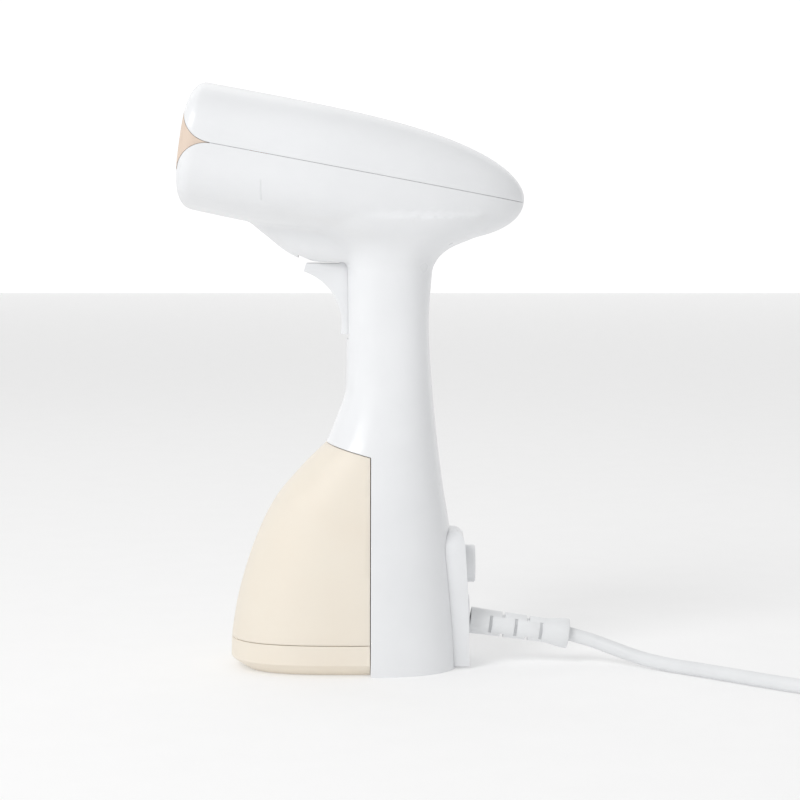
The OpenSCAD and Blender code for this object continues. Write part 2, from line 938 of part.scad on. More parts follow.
module tank_spout() {
    color("ivory")
        on_spout()
            stacked_turn([[2.2, 4], [spout_r + 2.5, 4], [spout_r + 2.5, 6.6], [spout_r, 6.6],
                          [spout_r, seal_x - 1], [spout_r - 0.9, seal_x - 1],
                          [spout_r - 0.9, seal_x + 1], [spout_r, seal_x + 1],
                          [spout_r, valve_end_x], [stem_r + 0.1, valve_end_x],
                          [stem_r + 0.1, valve_end_x - 1.4], [valve_bore_r, valve_end_x - 1.4],
                          [valve_bore_r, valve_seat_x], [2.2, valve_seat_x]]);
}

module tank_valve() {
    color("slategray")
        on_spout() {
            translate([0, 0, valve_seat_x])
                cylinder(r = valve_bore_r - 0.15, h = 1.6, $fn = round_fn);
            translate([0, 0, valve_seat_x])
                cylinder(r = stem_r, h = valve_end_x - valve_seat_x - 0.5, $fn = thin_fn);
        }
}

module valve_spring() {
    color("silver")
        on_spout()
            translate([0, 0, valve_seat_x + 1.6])
                coil_spring(2.2, 0.3, 4, valve_end_x - 1.4 - valve_seat_x - 1.6);
}

module spout_seal() {
    color("black")
        on_spout()
            translate([0, 0, seal_x])
                rotate_extrude($fn = round_fn)
                    translate([spout_r - 0.4, 0])
                        circle(0.45, $fn = thin_fn);
}

module suction_tube() {
    color("lightgray")
        difference() {
            union() {
                translate([1, 0, floor_t + 1.5])
                    cylinder(r = 2.6, h = spout_z - floor_t - 1.5, $fn = round_fn);
                on_spout()
                    cylinder(r = 2.6, h = 4, $fn = round_fn);
            }
            translate([1, 0, 0])
                cylinder(r = 1.4, h = spout_z, $fn = thin_fn);
            on_spout()
                translate([0, 0, 1])
                    cylinder(r = 1.4, h = 6, $fn = thin_fn);
        }
}

module dock_socket() {
    front = dock_x + dock_gap + 0.3;
    inside = dock_x + dock_gap + wall + 0.1;
    color("lightsteelblue")
        difference() {
            union() {
                on_spout()
                    translate([0, 0, front])
                        cylinder(r = dock_nose_r, h = 28 - front, $fn = round_fn);
                on_spout()
                    translate([0, 0, inside])
                        cylinder(r = dock_nose_r + 2.4, h = 2, $fn = round_fn);
                translate([inlet_x, 0, spout_z])
                    cylinder(r = tube_bore_r, h = dock_nose_r + 7, $fn = round_fn);
            }
            on_spout()
                cylinder(r = spout_r + run_fit + 0.05, h = 25.5, $fn = round_fn);
            translate([inlet_x, 0, spout_z])
                cylinder(r = 1, h = 30, $fn = thin_fn);
        }
}

/* Base, rear panel and button */

foot_r = 4.9;
FEET_X = [20, 40.4 - wall];
FEET_Y = [base_in(FEET_X[0]) - 12.025, base_in(FEET_X[1] + foot_r) - 2.49];
FEET = [for (side = [1, -1], i = [0, 1]) [FEET_X[i], side * FEET_Y[i]]];
foot_h = 1.4;
sink_z = 2.2;

module base_plate() {
    color("whitesmoke")
        difference() {
            intersection() {
                translate([0, 0, plate_low])
                    linear_extrude(plate_t)
                        polygon([for (p = body_ring(0, wall + 0.2)) [p[0], p[1]]]);
                translate([dock_x + dock_gap + wall + 0.2, -base_w / 2, 0])
                    cube([41.6 - dock_x - dock_gap - wall, base_w, 5]);
            }
            for (p = FEET)
                translate([p[0], p[1], 0])
                    cylinder(r = foot_r + 0.1, h = foot_h, $fn = round_fn);
            for (y = [-1, 1])
                translate([base_screw[0], y * base_screw[1], 0]) {
                    cylinder(r = screw_r + 0.2, h = 6, $fn = thin_fn);
                    cylinder(r = 2.6, h = sink_z, $fn = thin_fn);
                }
        }
    color("whitesmoke")
        for (y = [-clamp_y, clamp_y])
            translate([clamp_x, y, plate_low + plate_t - eps])
                difference() {
                    cylinder(r = 3, h = clamp_z - plate_low - plate_t - 2, $fn = thin_fn);
                    translate([0, 0, 2])
                        cylinder(r = 1.2, h = 20, $fn = thin_fn);
                }
}

module base_screws() {
    color("silver")
        for (y = [-1, 1])
            translate([base_screw[0], y * base_screw[1], 12])
                rotate([180, 0, 0])
                    screw(12 - sink_z, screw_r, 2.4, 1.4);
}

module rubber_feet() {
    color("dimgray")
        for (p = FEET)
            translate([p[0], p[1], 0])
                cylinder(r = foot_r, h = foot_h, $fn = round_fn);
}

button_z = 47;
gland_z = 21;
flange_z = 22.3;
flange_r = 9.9;
panel_face = panel_reach - 1.5;
panel_in_x = 42.4;
board_x = 37.6;
board_t = 1.6;
board_z = 29.5;
board_h = 29;

// Side outline of the rear panel, shrunk by k at the rear and top
module panel_side(k) {
    along_y(span_y)
        polygon([[panel_in_x - 1, 0], [panel_reach - k, 0], [panel_reach - 0.6 - k, 35],
                 [panel_reach - 2.3 - k, panel_h - 0.2 - k], [panel_reach - 9 - k, panel_h + 4 - k],
                 [panel_in_x - 1, panel_h + 4 - k]]);
}

module on_rear(z) {
    translate([0, 0, z])
        rotate([0, 90, 0])
            children();
}

module rear_panel() {
    color("white")
        difference() {
            union() {
                difference() {
                    intersection() {
                        panel_prism(0, panel_in_x, 70);
                        panel_side(0);
                    }
                    intersection() {
                        panel_prism(-wall, panel_in_x - 1, 70);
                        panel_side(wall);
                    }
                }
                for (y = [-1, 1])
                    translate([board_x + board_t, y * 11.5, board_z + 3.5])
                        rotate([0, 90, 0])
                            cylinder(r = 2, h = panel_reach - wall - board_x - board_t, $fn = thin_fn);
            }
            on_rear(button_z)
                cylinder(r = button_r + 0.1, h = 80, $fn = round_fn);
            on_rear(flange_z)
                translate([0, 0, panel_reach - 1])
                    cylinder(r = flange_r + 0.1, h = 10, $fn = round_fn);
            on_rear(gland_z)
                cylinder(r = 6.6, h = 80, $fn = round_fn);
        }
}

button_out = panel_reach + 3;
button_in = panel_face - wall - 0.9;

module power_button() {
    color("white")
        on_rear(button_z) {
            translate([0, 0, button_in - 0.1])
                cylinder(r = button_r, h = button_out - 1 - button_in + 0.1, $fn = round_fn);
            translate([0, 0, button_out - 1])
                cylinder(r1 = button_r, r2 = button_r - 1, h = 1, $fn = round_fn);
            translate([0, 0, button_in - 1.5])
                cylinder(r = button_r + 1, h = 1.5, $fn = round_fn);
            translate([0, 0, board_x + 4.4])
                cylinder(r = 2, h = button_in - 1.4 - board_x - 4.4, $fn = round_fn);
        }
}

module button_spring() {
    color("silver")
        on_rear(button_z)
            translate([0, 0, board_x + board_t])
                coil_spring(3.6, 0.3, 5, button_in - 1.5 - board_x - board_t);
}

module control_board() {
    color("seagreen")
        translate([board_x, -13, board_z])
            cube([board_t, 26, board_h]);
    color("dimgray")
        translate([board_x + 1.55, -2.2, button_z - 2.2])
            cube([0.9, 4.4, 4.4]);
    color("dimgray")
        translate([board_x - 8, -8, board_z + 2])
            cube([8.05, 16, 9]);
}

clamp_z = gland_z;
clamp_x = 36;
clamp_y = 8;

module cord_clamp() {
    color("whitesmoke")
        difference() {
            translate([32, -11, clamp_z - 2])
                cube([8, 22, cord_r + 4.5]);
            on_rear(clamp_z)
                cylinder(r = cord_r, h = 80, $fn = round_fn);
            for (y = [-clamp_y, clamp_y])
                translate([clamp_x, y, 0])
                    cylinder(r = 1.5, h = 60, $fn = thin_fn);
        }
}

module clamp_screws() {
    color("silver")
        for (y = [-clamp_y, clamp_y])
            translate([clamp_x, y, clamp_z - 10])
                screw(10 + cord_r + 2.5, 1.15, 2.2, 1.5);
}

module cord_gland() {
    color("whitesmoke")
        difference() {
            union() {
                on_rear(flange_z)
                    translate([0, 0, panel_reach - 1])
                        cylinder(r = flange_r, h = 1.2, $fn = round_fn);
                on_rear(gland_z)
                    translate([0, 0, panel_in_x + 4])
                        cylinder(r = 6.5, h = panel_reach - 1 - panel_in_x - 4 + 0.1, $fn = round_fn);
            }
            on_rear(gland_z)
                cylinder(r = cord_r, h = 80, $fn = round_fn);
        }
}

/* Cord set */

relief_tilt = 8;
relief_x = panel_reach + 0.4;
relief_z = 20.2;
relief_root_r = 6.2;
relief_body_r = 5.7;
relief_end_r = 7;
relief_slot = 1.5;
relief_end = [relief_x + relief_l * cos(relief_tilt), 0, relief_z - relief_l * sin(relief_tilt)];

module strain_relief() {
    color("white")
        translate([relief_x, 0, relief_z])
            difference() {
                union() {
                    translate([-0.2, 0, 0])
                        rotate([0, 90, 0])
                            cylinder(r = relief_root_r, h = 2.2, $fn = round_fn);
                    rotate([0, 90 + relief_tilt, 0]) {
                        translate([0, 0, 1.1])
                            cylinder(r1 = relief_root_r, r2 = relief_body_r,
                                     h = relief_l - 12, $fn = round_fn);
                        translate([0, 0, relief_l - 11])
                            cylinder(r1 = relief_body_r, r2 = relief_end_r, h = 4.5, $fn = round_fn);
                        translate([0, 0, relief_l - 6.5])
                            cylinder(r = relief_end_r, h = 6.5, $fn = round_fn);
                    }
                }
                rotate([0, 90 + relief_tilt, 0]) {
                    for (u = [10, 22, 34], y = [-1, 1])
                        translate([-4, y * relief_body_r - 2.2, u - relief_slot / 2])
                            cube([8, 4.4, relief_slot]);
                    for (u = [15.8, 27.6], x = [-1, 1])
                        translate([x * relief_body_r - 2, -relief_root_r, u - relief_slot / 2])
                            cube([4, 2 * relief_root_r, relief_slot]);
                }
            }
}

// Points of the cord from the strain relief to the coil
coil_c = [272, -60];
coil_mid_r = 39;
coil_out_r = coil_mid_r + 3 * cord_r;
coil_h_all = 4 * cord_r;
LEAD = [
    relief_end,
    [108, -0.6, 12.2], [114, -2, 10.6], [120.5, -4.8, 8.6], [127.5, -9, 6.6],
    [135, -14.4, 4.8], [143, -20.8, 3.7], [151, -27.8, 3.25], [159, -35.2, 3.25],
    [168, -44, 3.25], [178, -54, 3.25], [189, -65, 3.25], [201, -76, 3.25],
    [214, -86, 3.25], [228, -94.2, 3.25], [243, -100.6, 3.25], [258, -104.4, 3.25],
    [coil_c[0], coil_c[1] - coil_mid_r - 2 * cord_r, 3.25]
];
plug_x = coil_c[0] + coil_mid_r + 2 * cord_r;
plug_y = -9;
plug_z = 12;
TAIL = [
    [plug_x, coil_c[1], 9.75], [plug_x + 0.3, -50, 9.8], [plug_x + 0.4, -40, 10.1],
    [plug_x + 0.3, -30, 10.9], [plug_x + 0.1, -20, 11.6], [plug_x, plug_y, plug_z]
];

function unit(v) = v / norm(v);
function heading(p, i) = unit(p[min(i + 1, len(p) - 1)] - p[max(i - 1, 0)]);

module cord_tube(p) {
    sides = 10;
    loft([for (i = [0 : len(p) - 1])
        let (d = heading(p, i), a = unit(cross(d, [0, 0, 1])), b = cross(a, d))
        [for (j = [0 : sides - 1])
            p[i] + cord_r * (cos(360 * j / sides) * b + sin(360 * j / sides) * a)]]);
}

module inner_cord() {
    start_x = 30.5;
    color("white")
        on_rear(gland_z)
            translate([0, 0, start_x])
                cylinder(r = cord_r, h = relief_x - 0.2 - start_x, $fn = round_fn);
}

module cord_lead() {
    color("white")
        cord_tube(LEAD);
}

module cord_coil() {
    color("white")
        translate([coil_c[0], coil_c[1], 0])
            rotate_extrude($fn = 64)
                translate([2 * coil_mid_r - coil_out_r, 0])
                    square([2 * (coil_out_r - coil_mid_r), coil_h_all]);
}

module cord_tail() {
    color("white")
        cord_tube(TAIL);
}

module cord_tie() {
    band = 12;
    bundle = 6 * cord_r;
    color("dimgray")
        translate([coil_c[0] - coil_mid_r, coil_c[1], 0])
            difference() {
                translate([-bundle / 2 - 1.4, -band / 2, 0.02])
                    cube([bundle + 3.2, band, coil_h_all + 1.2]);
                translate([-bundle / 2 - 0.2, -band, 1])
                    cube([bundle + 0.8, 2 * band, coil_h_all - 0.9]);
            }
}

pin_pitch = 19;
pin_r = 2.4;
pin_l = 19;
plug_body_l = 26;

module plug_body() {
    color("white")
        translate([plug_x, plug_y, plug_z])
            rotate([-90, 0, 0]) {
                cylinder(r1 = 4.6, r2 = 7, h = 22, $fn = round_fn);
                translate([0, 0, 20])
                    linear_extrude(plug_body_l)
                        union() {
                            square([22, 24], center = true);
                            square([34, 12], center = true);
                            for (x = [-11, 11], y = [-6, 6])
                                translate([x, y])
                                    circle(6, $fn = round_fn);
                        }
            }
}

module plug_pins() {
    color("silver")
        for (x = [-1, 1])
            translate([plug_x + x * pin_pitch / 2, plug_y + 20 + plug_body_l, plug_z])
                rotate([-90, 0, 0]) {
                    cylinder(r = pin_r, h = pin_l - 1.2, $fn = round_fn);
                    translate([0, 0, pin_l - 1.2])
                        cylinder(r1 = pin_r, r2 = pin_r - 1, h = 1.2, $fn = round_fn);
                }
}

left_housing();
right_housing();
head_cover();
steam_panel();
housing_screws();
boiler_block();
boiler_gasket();
boiler_cover();
boiler_screws();
heating_element();
steam_chamber();
thermostat();
thermal_fuse();
inlet_nipple();
trigger();
trigger_pin();
trigger_spring();
grip_frame();
switch_body();
switch_lever();
switch_pin();
pump_body();
pump_coil();
pump_yoke();
pump_plunger();
pump_spring();
inlet_tube();
outlet_tube();
supply_wires();
tank_shell();
tank_floor();
tank_stopper();
tank_spout();
tank_valve();
valve_spring();
spout_seal();
suction_tube();
dock_socket();
base_plate();
base_screws();
rubber_feet();
rear_panel();
power_button();
button_spring();
control_board();
cord_clamp();
clamp_screws();
cord_gland();
inner_cord();
strain_relief();
cord_lead();
cord_coil();
cord_tail();
cord_tie();
plug_body();
plug_pins();
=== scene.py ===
"""Looks of a handheld garment steamer, built around its CAD frame.

Lengths are in metres, in the frame's axes: +X to the rear, +Z up, the nozzle to -X.
"""

import json
import logging
import math
from dataclasses import dataclass
from enum import Enum
from typing import Iterable, Optional, Sequence

import bmesh
import bpy
from mathutils import Matrix, Vector

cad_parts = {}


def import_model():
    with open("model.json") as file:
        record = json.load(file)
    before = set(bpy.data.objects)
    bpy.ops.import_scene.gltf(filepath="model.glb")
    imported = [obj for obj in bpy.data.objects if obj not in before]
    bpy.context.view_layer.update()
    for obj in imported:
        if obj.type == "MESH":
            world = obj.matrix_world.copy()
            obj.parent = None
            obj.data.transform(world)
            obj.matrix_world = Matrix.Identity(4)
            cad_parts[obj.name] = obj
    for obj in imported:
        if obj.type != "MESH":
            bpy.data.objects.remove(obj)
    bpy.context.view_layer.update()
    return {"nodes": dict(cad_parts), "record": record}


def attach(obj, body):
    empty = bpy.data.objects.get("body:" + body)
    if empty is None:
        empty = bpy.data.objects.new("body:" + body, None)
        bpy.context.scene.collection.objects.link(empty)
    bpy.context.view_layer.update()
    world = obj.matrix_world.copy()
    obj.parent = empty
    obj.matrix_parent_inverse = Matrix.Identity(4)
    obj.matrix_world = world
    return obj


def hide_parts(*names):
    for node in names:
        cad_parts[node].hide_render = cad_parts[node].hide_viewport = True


LOG = logging.getLogger("steamer")
MM = 0.001
Point = tuple[float, float, float]
Ring = list[Vector]
Obj = bpy.types.Object
Mesh = bmesh.types.BMesh


# Finishes


class Grain(Enum):
    """How a finish's fine surface is laid."""

    SATIN = "satin"
    BRUSHED = "brushed"
    CAST = "cast"
    MATTE = "matte"
    WOVEN = "woven"


@dataclass(frozen=True)
class Finish:
    """One material: its colours, gloss and fine relief."""

    name: str
    light: tuple[float, float, float]
    dark: tuple[float, float, float]
    rough: float = 0.4
    metal: float = 0.0
    grain: Grain = Grain.SATIN
    relief: float = 0.02
    scale: float = 900.0
    coat: float = 0.0
    clear: float = 0.0
    lit: float = 0.0

    def build(self) -> bpy.types.Material:
        """Makes the node material.

        Returns:
            The material, built once and then reused.
        """
        known = bpy.data.materials.get(self.name)
        if known:
            return known
        mat = bpy.data.materials.new(self.name)
        mat.use_nodes = True
        tree = mat.node_tree
        nodes, links = tree.nodes, tree.links
        shader = nodes["Principled BSDF"]
        plain = {"Metallic": self.metal, "Coat Weight": self.coat, "Coat Roughness": 0.12,
                 "Transmission Weight": self.clear, "IOR": 1.46,
                 "Emission Color": (1.0, 1.0, 1.0, 1.0), "Emission Strength": self.lit}
        for key, value in plain.items():
            shader.inputs[key].default_value = value
        place = nodes.new("ShaderNodeTexCoord")
        turn = nodes.new("ShaderNodeMapping")
        along = 0.06 if self.grain is Grain.BRUSHED else 1.0
        turn.inputs["Scale"].default_value = (1.0, 1.0, along)
        links.new(place.outputs["Object"], turn.inputs["Vector"])
        cloud = nodes.new("ShaderNodeTexNoise")
        cloud.inputs["Scale"].default_value = 38.0
        cloud.inputs["Detail"].default_value = 3.0
        links.new(turn.outputs["Vector"], cloud.inputs["Vector"])
        tint = nodes.new("ShaderNodeValToRGB")
        tint.color_ramp.elements[0].position = 0.3
        tint.color_ramp.elements[1].position = 0.72
        tint.color_ramp.elements[0].color = (*self.dark, 1.0)
        tint.color_ramp.elements[1].color = (*self.light, 1.0)
        links.new(cloud.outputs["Fac"], tint.inputs["Fac"])
        links.new(tint.outputs["Color"], shader.inputs["Base Color"])
        fine = self._fine(nodes, links, turn)
        haze = nodes.new("ShaderNodeMapRange")
        haze.inputs["To Min"].default_value = max(0.02, self.rough - 0.06)
        haze.inputs["To Max"].default_value = min(1.0, self.rough + 0.06)
        links.new(cloud.outputs["Fac"], haze.inputs["Value"])
        links.new(haze.outputs["Result"], shader.inputs["Roughness"])
        bump = nodes.new("ShaderNodeBump")
        bump.inputs["Strength"].default_value = self.relief
        bump.inputs["Distance"].default_value = 0.0002
        links.new(fine, bump.inputs["Height"])
        links.new(bump.outputs["Normal"], shader.inputs["Normal"])
        return mat

    def _fine(self, nodes: bpy.types.Nodes, links: bpy.types.NodeLinks,
              turn: bpy.types.Node) -> bpy.types.NodeSocket:
        """Makes the fine relief's height.

        Args:
            nodes: The material's nodes.
            links: The material's links.
            turn: The Mapping node that gives the place.

        Returns:
            The socket that holds the height.
        """
        kind, extra, value, out = {
            Grain.WOVEN: ("ShaderNodeTexWave", "Distortion", 1.5, "Fac"),
            Grain.CAST: ("ShaderNodeTexVoronoi", "Detail", 0.0, "Distance"),
        }.get(self.grain, ("ShaderNodeTexNoise", "Detail", 4.0, "Fac"))
        node = nodes.new(kind)
        node.inputs["Scale"].default_value = self.scale
        node.inputs[extra].default_value = value
        links.new(turn.outputs["Vector"], node.inputs["Vector"])
        return node.outputs[out]


WHITE = Finish("white moulded shell", (0.86, 0.87, 0.885), (0.83, 0.84, 0.855), 0.3, coat=0.25)
TRIM = Finish("white moulded trim", (0.85, 0.86, 0.875), (0.81, 0.82, 0.835), 0.34, coat=0.1)
ROSE = Finish("champagne panel", (0.78, 0.64, 0.53), (0.74, 0.605, 0.5), 0.42)
TANK = Finish("champagne tank", (1.0, 0.93, 0.815), (0.99, 0.91, 0.79), 0.5, clear=0.18)
CORD = Finish("white cord sheath", (0.82, 0.83, 0.84), (0.77, 0.78, 0.79), 0.46, scale=1400.0,
              relief=0.06, grain=Grain.MATTE)
RELIEF = Finish("white soft relief", (0.83, 0.84, 0.85), (0.79, 0.80, 0.81), 0.42,
                grain=Grain.MATTE, relief=0.05)
STEEL = Finish("plated steel", (0.63, 0.63, 0.64), (0.5, 0.5, 0.52), 0.3, 1.0, Grain.BRUSHED, 0.1)
SPRING = Finish("drawn spring wire", (0.7, 0.7, 0.71), (0.55, 0.55, 0.57), 0.22, 1.0)
DARK_STEEL = Finish("oxidised heater sheath", (0.3, 0.29, 0.28), (0.16, 0.15, 0.15), 0.5, 1.0)
ALUMINIUM = Finish("cast aluminium", (0.62, 0.63, 0.64), (0.5, 0.51, 0.52), 0.5, 1.0, Grain.CAST, 0.25)
BRASS = Finish("turned brass", (0.75, 0.55, 0.24), (0.6, 0.42, 0.17), 0.28, 1.0)
COPPER = Finish("lacquered winding", (0.45, 0.16, 0.06), (0.3, 0.09, 0.035), 0.34, 0.4,
                Grain.WOVEN, 0.5, 1600.0)
INNER = Finish("inner moulding", (0.62, 0.66, 0.7), (0.54, 0.58, 0.62), 0.5, grain=Grain.MATTE)
BLACK = Finish("black moulding", (0.05, 0.05, 0.055), (0.03, 0.03, 0.033), 0.45, grain=Grain.MATTE)
CLEAR = Finish("clear silicone", (0.8, 0.82, 0.82), (0.74, 0.76, 0.76), 0.32, clear=0.5)
SLEEVE = Finish("silicone wire sleeve", (0.5, 0.06, 0.04), (0.38, 0.04, 0.03), 0.5)
GASKET = Finish("red silicone gasket", (0.6, 0.14, 0.06), (0.5, 0.1, 0.04), 0.6, grain=Grain.MATTE)
FUSE = Finish("glazed ceramic", (0.76, 0.7, 0.58), (0.7, 0.63, 0.5), 0.2, coat=0.5)
STOPPER = Finish("soft stopper", (0.72, 0.7, 0.66), (0.66, 0.64, 0.6), 0.6, grain=Grain.MATTE)
RUBBER = Finish("grey foot rubber", (0.3, 0.3, 0.31), (0.24, 0.24, 0.25), 0.75, grain=Grain.MATTE,
                relief=0.15)
SEAL = Finish("black seal rubber", (0.03, 0.03, 0.03), (0.02, 0.02, 0.02), 0.5, grain=Grain.MATTE)
BOARD = Finish("board with solder mask", (0.03, 0.2, 0.09), (0.02, 0.14, 0.06), 0.35, coat=0.3)
STRAP = Finish("woven strap", (0.16, 0.16, 0.17), (0.09, 0.09, 0.1), 0.85, grain=Grain.WOVEN,
               relief=0.7, scale=700.0)
NICKEL = Finish("nickel plate", (0.72, 0.71, 0.69), (0.62, 0.61, 0.59), 0.16, 1.0)
FLOOR = Finish("pale floor", (0.7, 0.7, 0.7), (0.69, 0.69, 0.69), 1.0, grain=Grain.MATTE, lit=0.27)
WALL = Finish("pale wall", (0.6, 0.6, 0.6), (0.6, 0.6, 0.6), 1.0, grain=Grain.MATTE, lit=0.6)

CAD_FINISH: dict[str, Finish] = {
    "screw_steel": STEEL, "cast_aluminium": ALUMINIUM, "silicone_red": GASKET,
    "heater_sheath": DARK_STEEL, "inner_plastic": INNER, "ceramic_fuse": FUSE,
    "nipple_brass": BRASS, "spring_steel": SPRING, "black_plastic": BLACK,
    "coil_copper": COPPER, "yoke_steel": STEEL, "silicone_clear": CLEAR,
    "wire_sleeve": SLEEVE, "stopper_silicone": STOPPER, "black_rubber": SEAL,
    "grey_rubber": RUBBER, "board_green": BOARD, "white_trim": TRIM, "white_shell": WHITE,
    "champagne_panel": ROSE, "champagne_tank": TANK, "cord_white": CORD,
    "relief_white": RELIEF, "tie_fabric": STRAP, "pin_nickel": NICKEL,
}


# Mesh helpers


def curve(x: float, knots: Sequence[Sequence[float]], column: int = 1) -> float:
    """Smooth curve through knots.

    Args:
        x: Where to read it.
        knots: Rows that start with their place.
        column: Which value of a row to follow.

    Returns:
        The value at x.
    """
    last = len(knots) - 1
    i = max([0] + [j for j in range(last) if knots[j][0] <= x])
    a, b = knots[i], knots[i + 1]
    h = b[0] - a[0]
    t = max(0.0, min(1.0, (x - a[0]) / h))
    chord = (b[column] - a[column]) / h
    s0 = (b[column] - knots[i - 1][column]) / (b[0] - knots[i - 1][0]) if i > 0 else chord
    s1 = (knots[i + 2][column] - a[column]) / (knots[i + 2][0] - a[0]) if i < last - 1 else chord
    return (a[column] * (1 + 2 * t) * (1 - t) ** 2 + b[column] * t * t * (3 - 2 * t)
            + h * (s0 * t * (1 - t) ** 2 + s1 * t * t * (t - 1)))


def rounded(angle: float, power: float) -> tuple[float, float]:
    """Point of a unit rounded square at an angle in radians."""
    c, s = math.cos(angle), math.sin(angle)
    return (math.copysign(abs(c) ** (2 / power), c), math.copysign(abs(s) ** (2 / power), s))


def loft(rings: Sequence[Ring]) -> Mesh:
    """Closed form through rings of the same count.

    Args:
        rings: The rings, in order along the form.

    Returns:
        The mesh, closed at both ends.
    """
    bm = bmesh.new()
    first = bmesh.ops.create_circle(bm, cap_ends=False, segments=len(rings[0]), radius=0.01)["verts"]
    for vert, place in zip(first, rings[0]):
        vert.co = place
    row = list(first)
    edges = list(bm.edges)
    bmesh.ops.contextual_create(bm, geom=edges)
    for ring in rings[1:]:
        made = bmesh.ops.extrude_edge_only(bm, edges=edges)["geom"]
        new_edges = [g for g in made if isinstance(g, bmesh.types.BMEdge)]
        fresh = {g for g in made if isinstance(g, bmesh.types.BMVert)}
        row = [next(e.other_vert(v) for e in v.link_edges if e.other_vert(v) in fresh) for v in row]
        for vert, place in zip(row, ring):
            vert.co = place
        edges = new_edges
    bmesh.ops.contextual_create(bm, geom=edges)
    bmesh.ops.recalc_face_normals(bm, faces=bm.faces)
    return bm


def turned(profile: Sequence[tuple[float, float]], segments: int = 64) -> Mesh:
    """Body of revolution about the Z axis.

    Args:
        profile: Points (radius, height) in millimetres, from the bottom to the top.
        segments: Steps of the full turn.

    Returns:
        The mesh, with its poles closed.
    """
    bm = bmesh.new()
    verts = [bm.verts.new((r * MM, 0.0, z * MM)) for r, z in profile]
    edges = [bm.edges.new(pair) for pair in zip(verts, verts[1:])]
    if profile[0][0] > 1e-9 and len(profile) > 2:
        edges.append(bm.edges.new((verts[-1], verts[0])))
    bmesh.ops.spin(bm, geom=verts + edges, cent=(0, 0, 0), axis=(0, 0, 1), dvec=(0, 0, 0),
                   angle=2 * math.pi, steps=segments, use_merge=True, use_duplicate=False)
    bmesh.ops.remove_doubles(bm, verts=bm.verts, dist=1e-7)
    bmesh.ops.recalc_face_normals(bm, faces=bm.faces)
    return bm


def extruded(bm: Mesh, face: bmesh.types.BMFace, vec: Point) -> Mesh:
    """Pulls a flat face out into a closed prism.

    Args:
        bm: The mesh that holds the face.
        face: The face.
        vec: How far and which way it is pulled.

    Returns:
        The same mesh.
    """
    made = bmesh.ops.extrude_face_region(bm, geom=[face])["geom"]
    bmesh.ops.translate(bm, verts=[g for g in made if isinstance(g, bmesh.types.BMVert)], vec=vec)
    bmesh.ops.recalc_face_normals(bm, faces=bm.faces)
    return bm


def outline_prism(points: Sequence[tuple[float, float]], width: float) -> Mesh:
    """Prism across Y of an outline in X and Z.

    Args:
        points: The outline's corners.
        width: The prism's whole width.

    Returns:
        The closed mesh.
    """
    bm = bmesh.new()
    face = bm.faces.new([bm.verts.new((x, -width / 2, z)) for x, z in points])
    return extruded(bm, face, (0, width, 0))


def added(name: str, data: bpy.types.ID) -> Obj:
    """Makes an object in the scene.

    Args:
        name: Its name.
        data: Its mesh, curve, light or camera.

    Returns:
        The object.
    """
    obj = bpy.data.objects.new(name, data)
    bpy.context.scene.collection.objects.link(obj)
    return obj


def piece(name: str, bm: Mesh, finish: Optional[Finish],
          crease: float = 35.0) -> Obj:
    """Turns a bmesh into a shaded object.

    Args:
        name: The object's name.
        bm: The mesh, which is freed.
        finish: What it is dressed in, or None for a cutter.
        crease: Angle in degrees above which an edge stays sharp.

    Returns:
        The object, in the scene.
    """
    mesh = bpy.data.meshes.new(name)
    bm.to_mesh(mesh)
    bm.free()
    obj = added(name, mesh)
    smooth(obj, crease)
    if finish:
        mesh.materials.clear()
        mesh.materials.append(finish.build())
    return obj


def smooth(obj: Obj, crease: float = 35.0) -> None:
    """Smooth shading, with edges sharper than crease degrees kept."""
    obj.data.polygons.foreach_set("use_smooth", [True] * len(obj.data.polygons))
    obj.data.set_sharp_from_angle(angle=math.radians(crease))


def settle(obj: Obj, crease: float = 35.0) -> Obj:
    """Applies every modifier of obj, keeping its materials.

    Args:
        obj: The object.
        crease: Angle in degrees above which an edge stays sharp.

    Returns:
        obj.
    """
    bpy.context.view_layer.update()
    seen = obj.evaluated_get(bpy.context.evaluated_depsgraph_get())
    mesh = bpy.data.meshes.new_from_object(seen)
    obj.modifiers.clear()
    mesh.name = obj.data.name
    obj.data = mesh
    smooth(obj, crease)
    return obj


def carve(obj: Obj, tools: Iterable[Obj],
          how: str = "DIFFERENCE") -> Obj:
    """Boolean with each tool in turn, after which the tools are gone.

    Args:
        obj: What is cut.
        tools: The cutters.
        how: DIFFERENCE, UNION or INTERSECT.

    Returns:
        obj.
    """
    tools = list(tools)
    for tool in tools:
        mod = obj.modifiers.new("carve", "BOOLEAN")
        mod.object = tool
        mod.operation = how
        mod.solver = "MANIFOLD"
    settle(obj)
    for tool in tools:
        mesh = tool.data
        bpy.data.objects.remove(tool)
        bpy.data.meshes.remove(mesh)
    return obj


def block(low: Point, high: Point) -> Obj:
    """Box-shaped cutter between two corners, in metres.

    Args:
        low: The low corner.
        high: The high corner.

    Returns:
        The cutter.
    """
    bm = bmesh.new()
    bmesh.ops.create_cube(bm, size=1.0)
    size = Vector(high) - Vector(low)
    bmesh.ops.scale(bm, verts=bm.verts, vec=size)
    bmesh.ops.translate(bm, verts=bm.verts, vec=(Vector(high) + Vector(low)) / 2)
    return piece("cutter", bm, None)


def rod(start: Point, end: Point, radius: float, segments: int = 48) -> Obj:
    """Round cutter between two points.

    Args:
        start: Where it starts.
        end: Where it ends.
        radius: Its radius.
        segments: Its sides.

    Returns:
        The cutter.
    """
    a, b = Vector(start), Vector(end)
    bm = bmesh.new()
    bmesh.ops.create_cone(bm, cap_ends=True, segments=segments, radius1=radius, radius2=radius,
                          depth=(b - a).length)
    turn = (b - a).to_track_quat("Z", "Y").to_matrix().to_4x4()
    bmesh.ops.transform(bm, verts=bm.verts, matrix=Matrix.Translation((a + b) / 2) @ turn)
    return piece("cutter", bm, None)


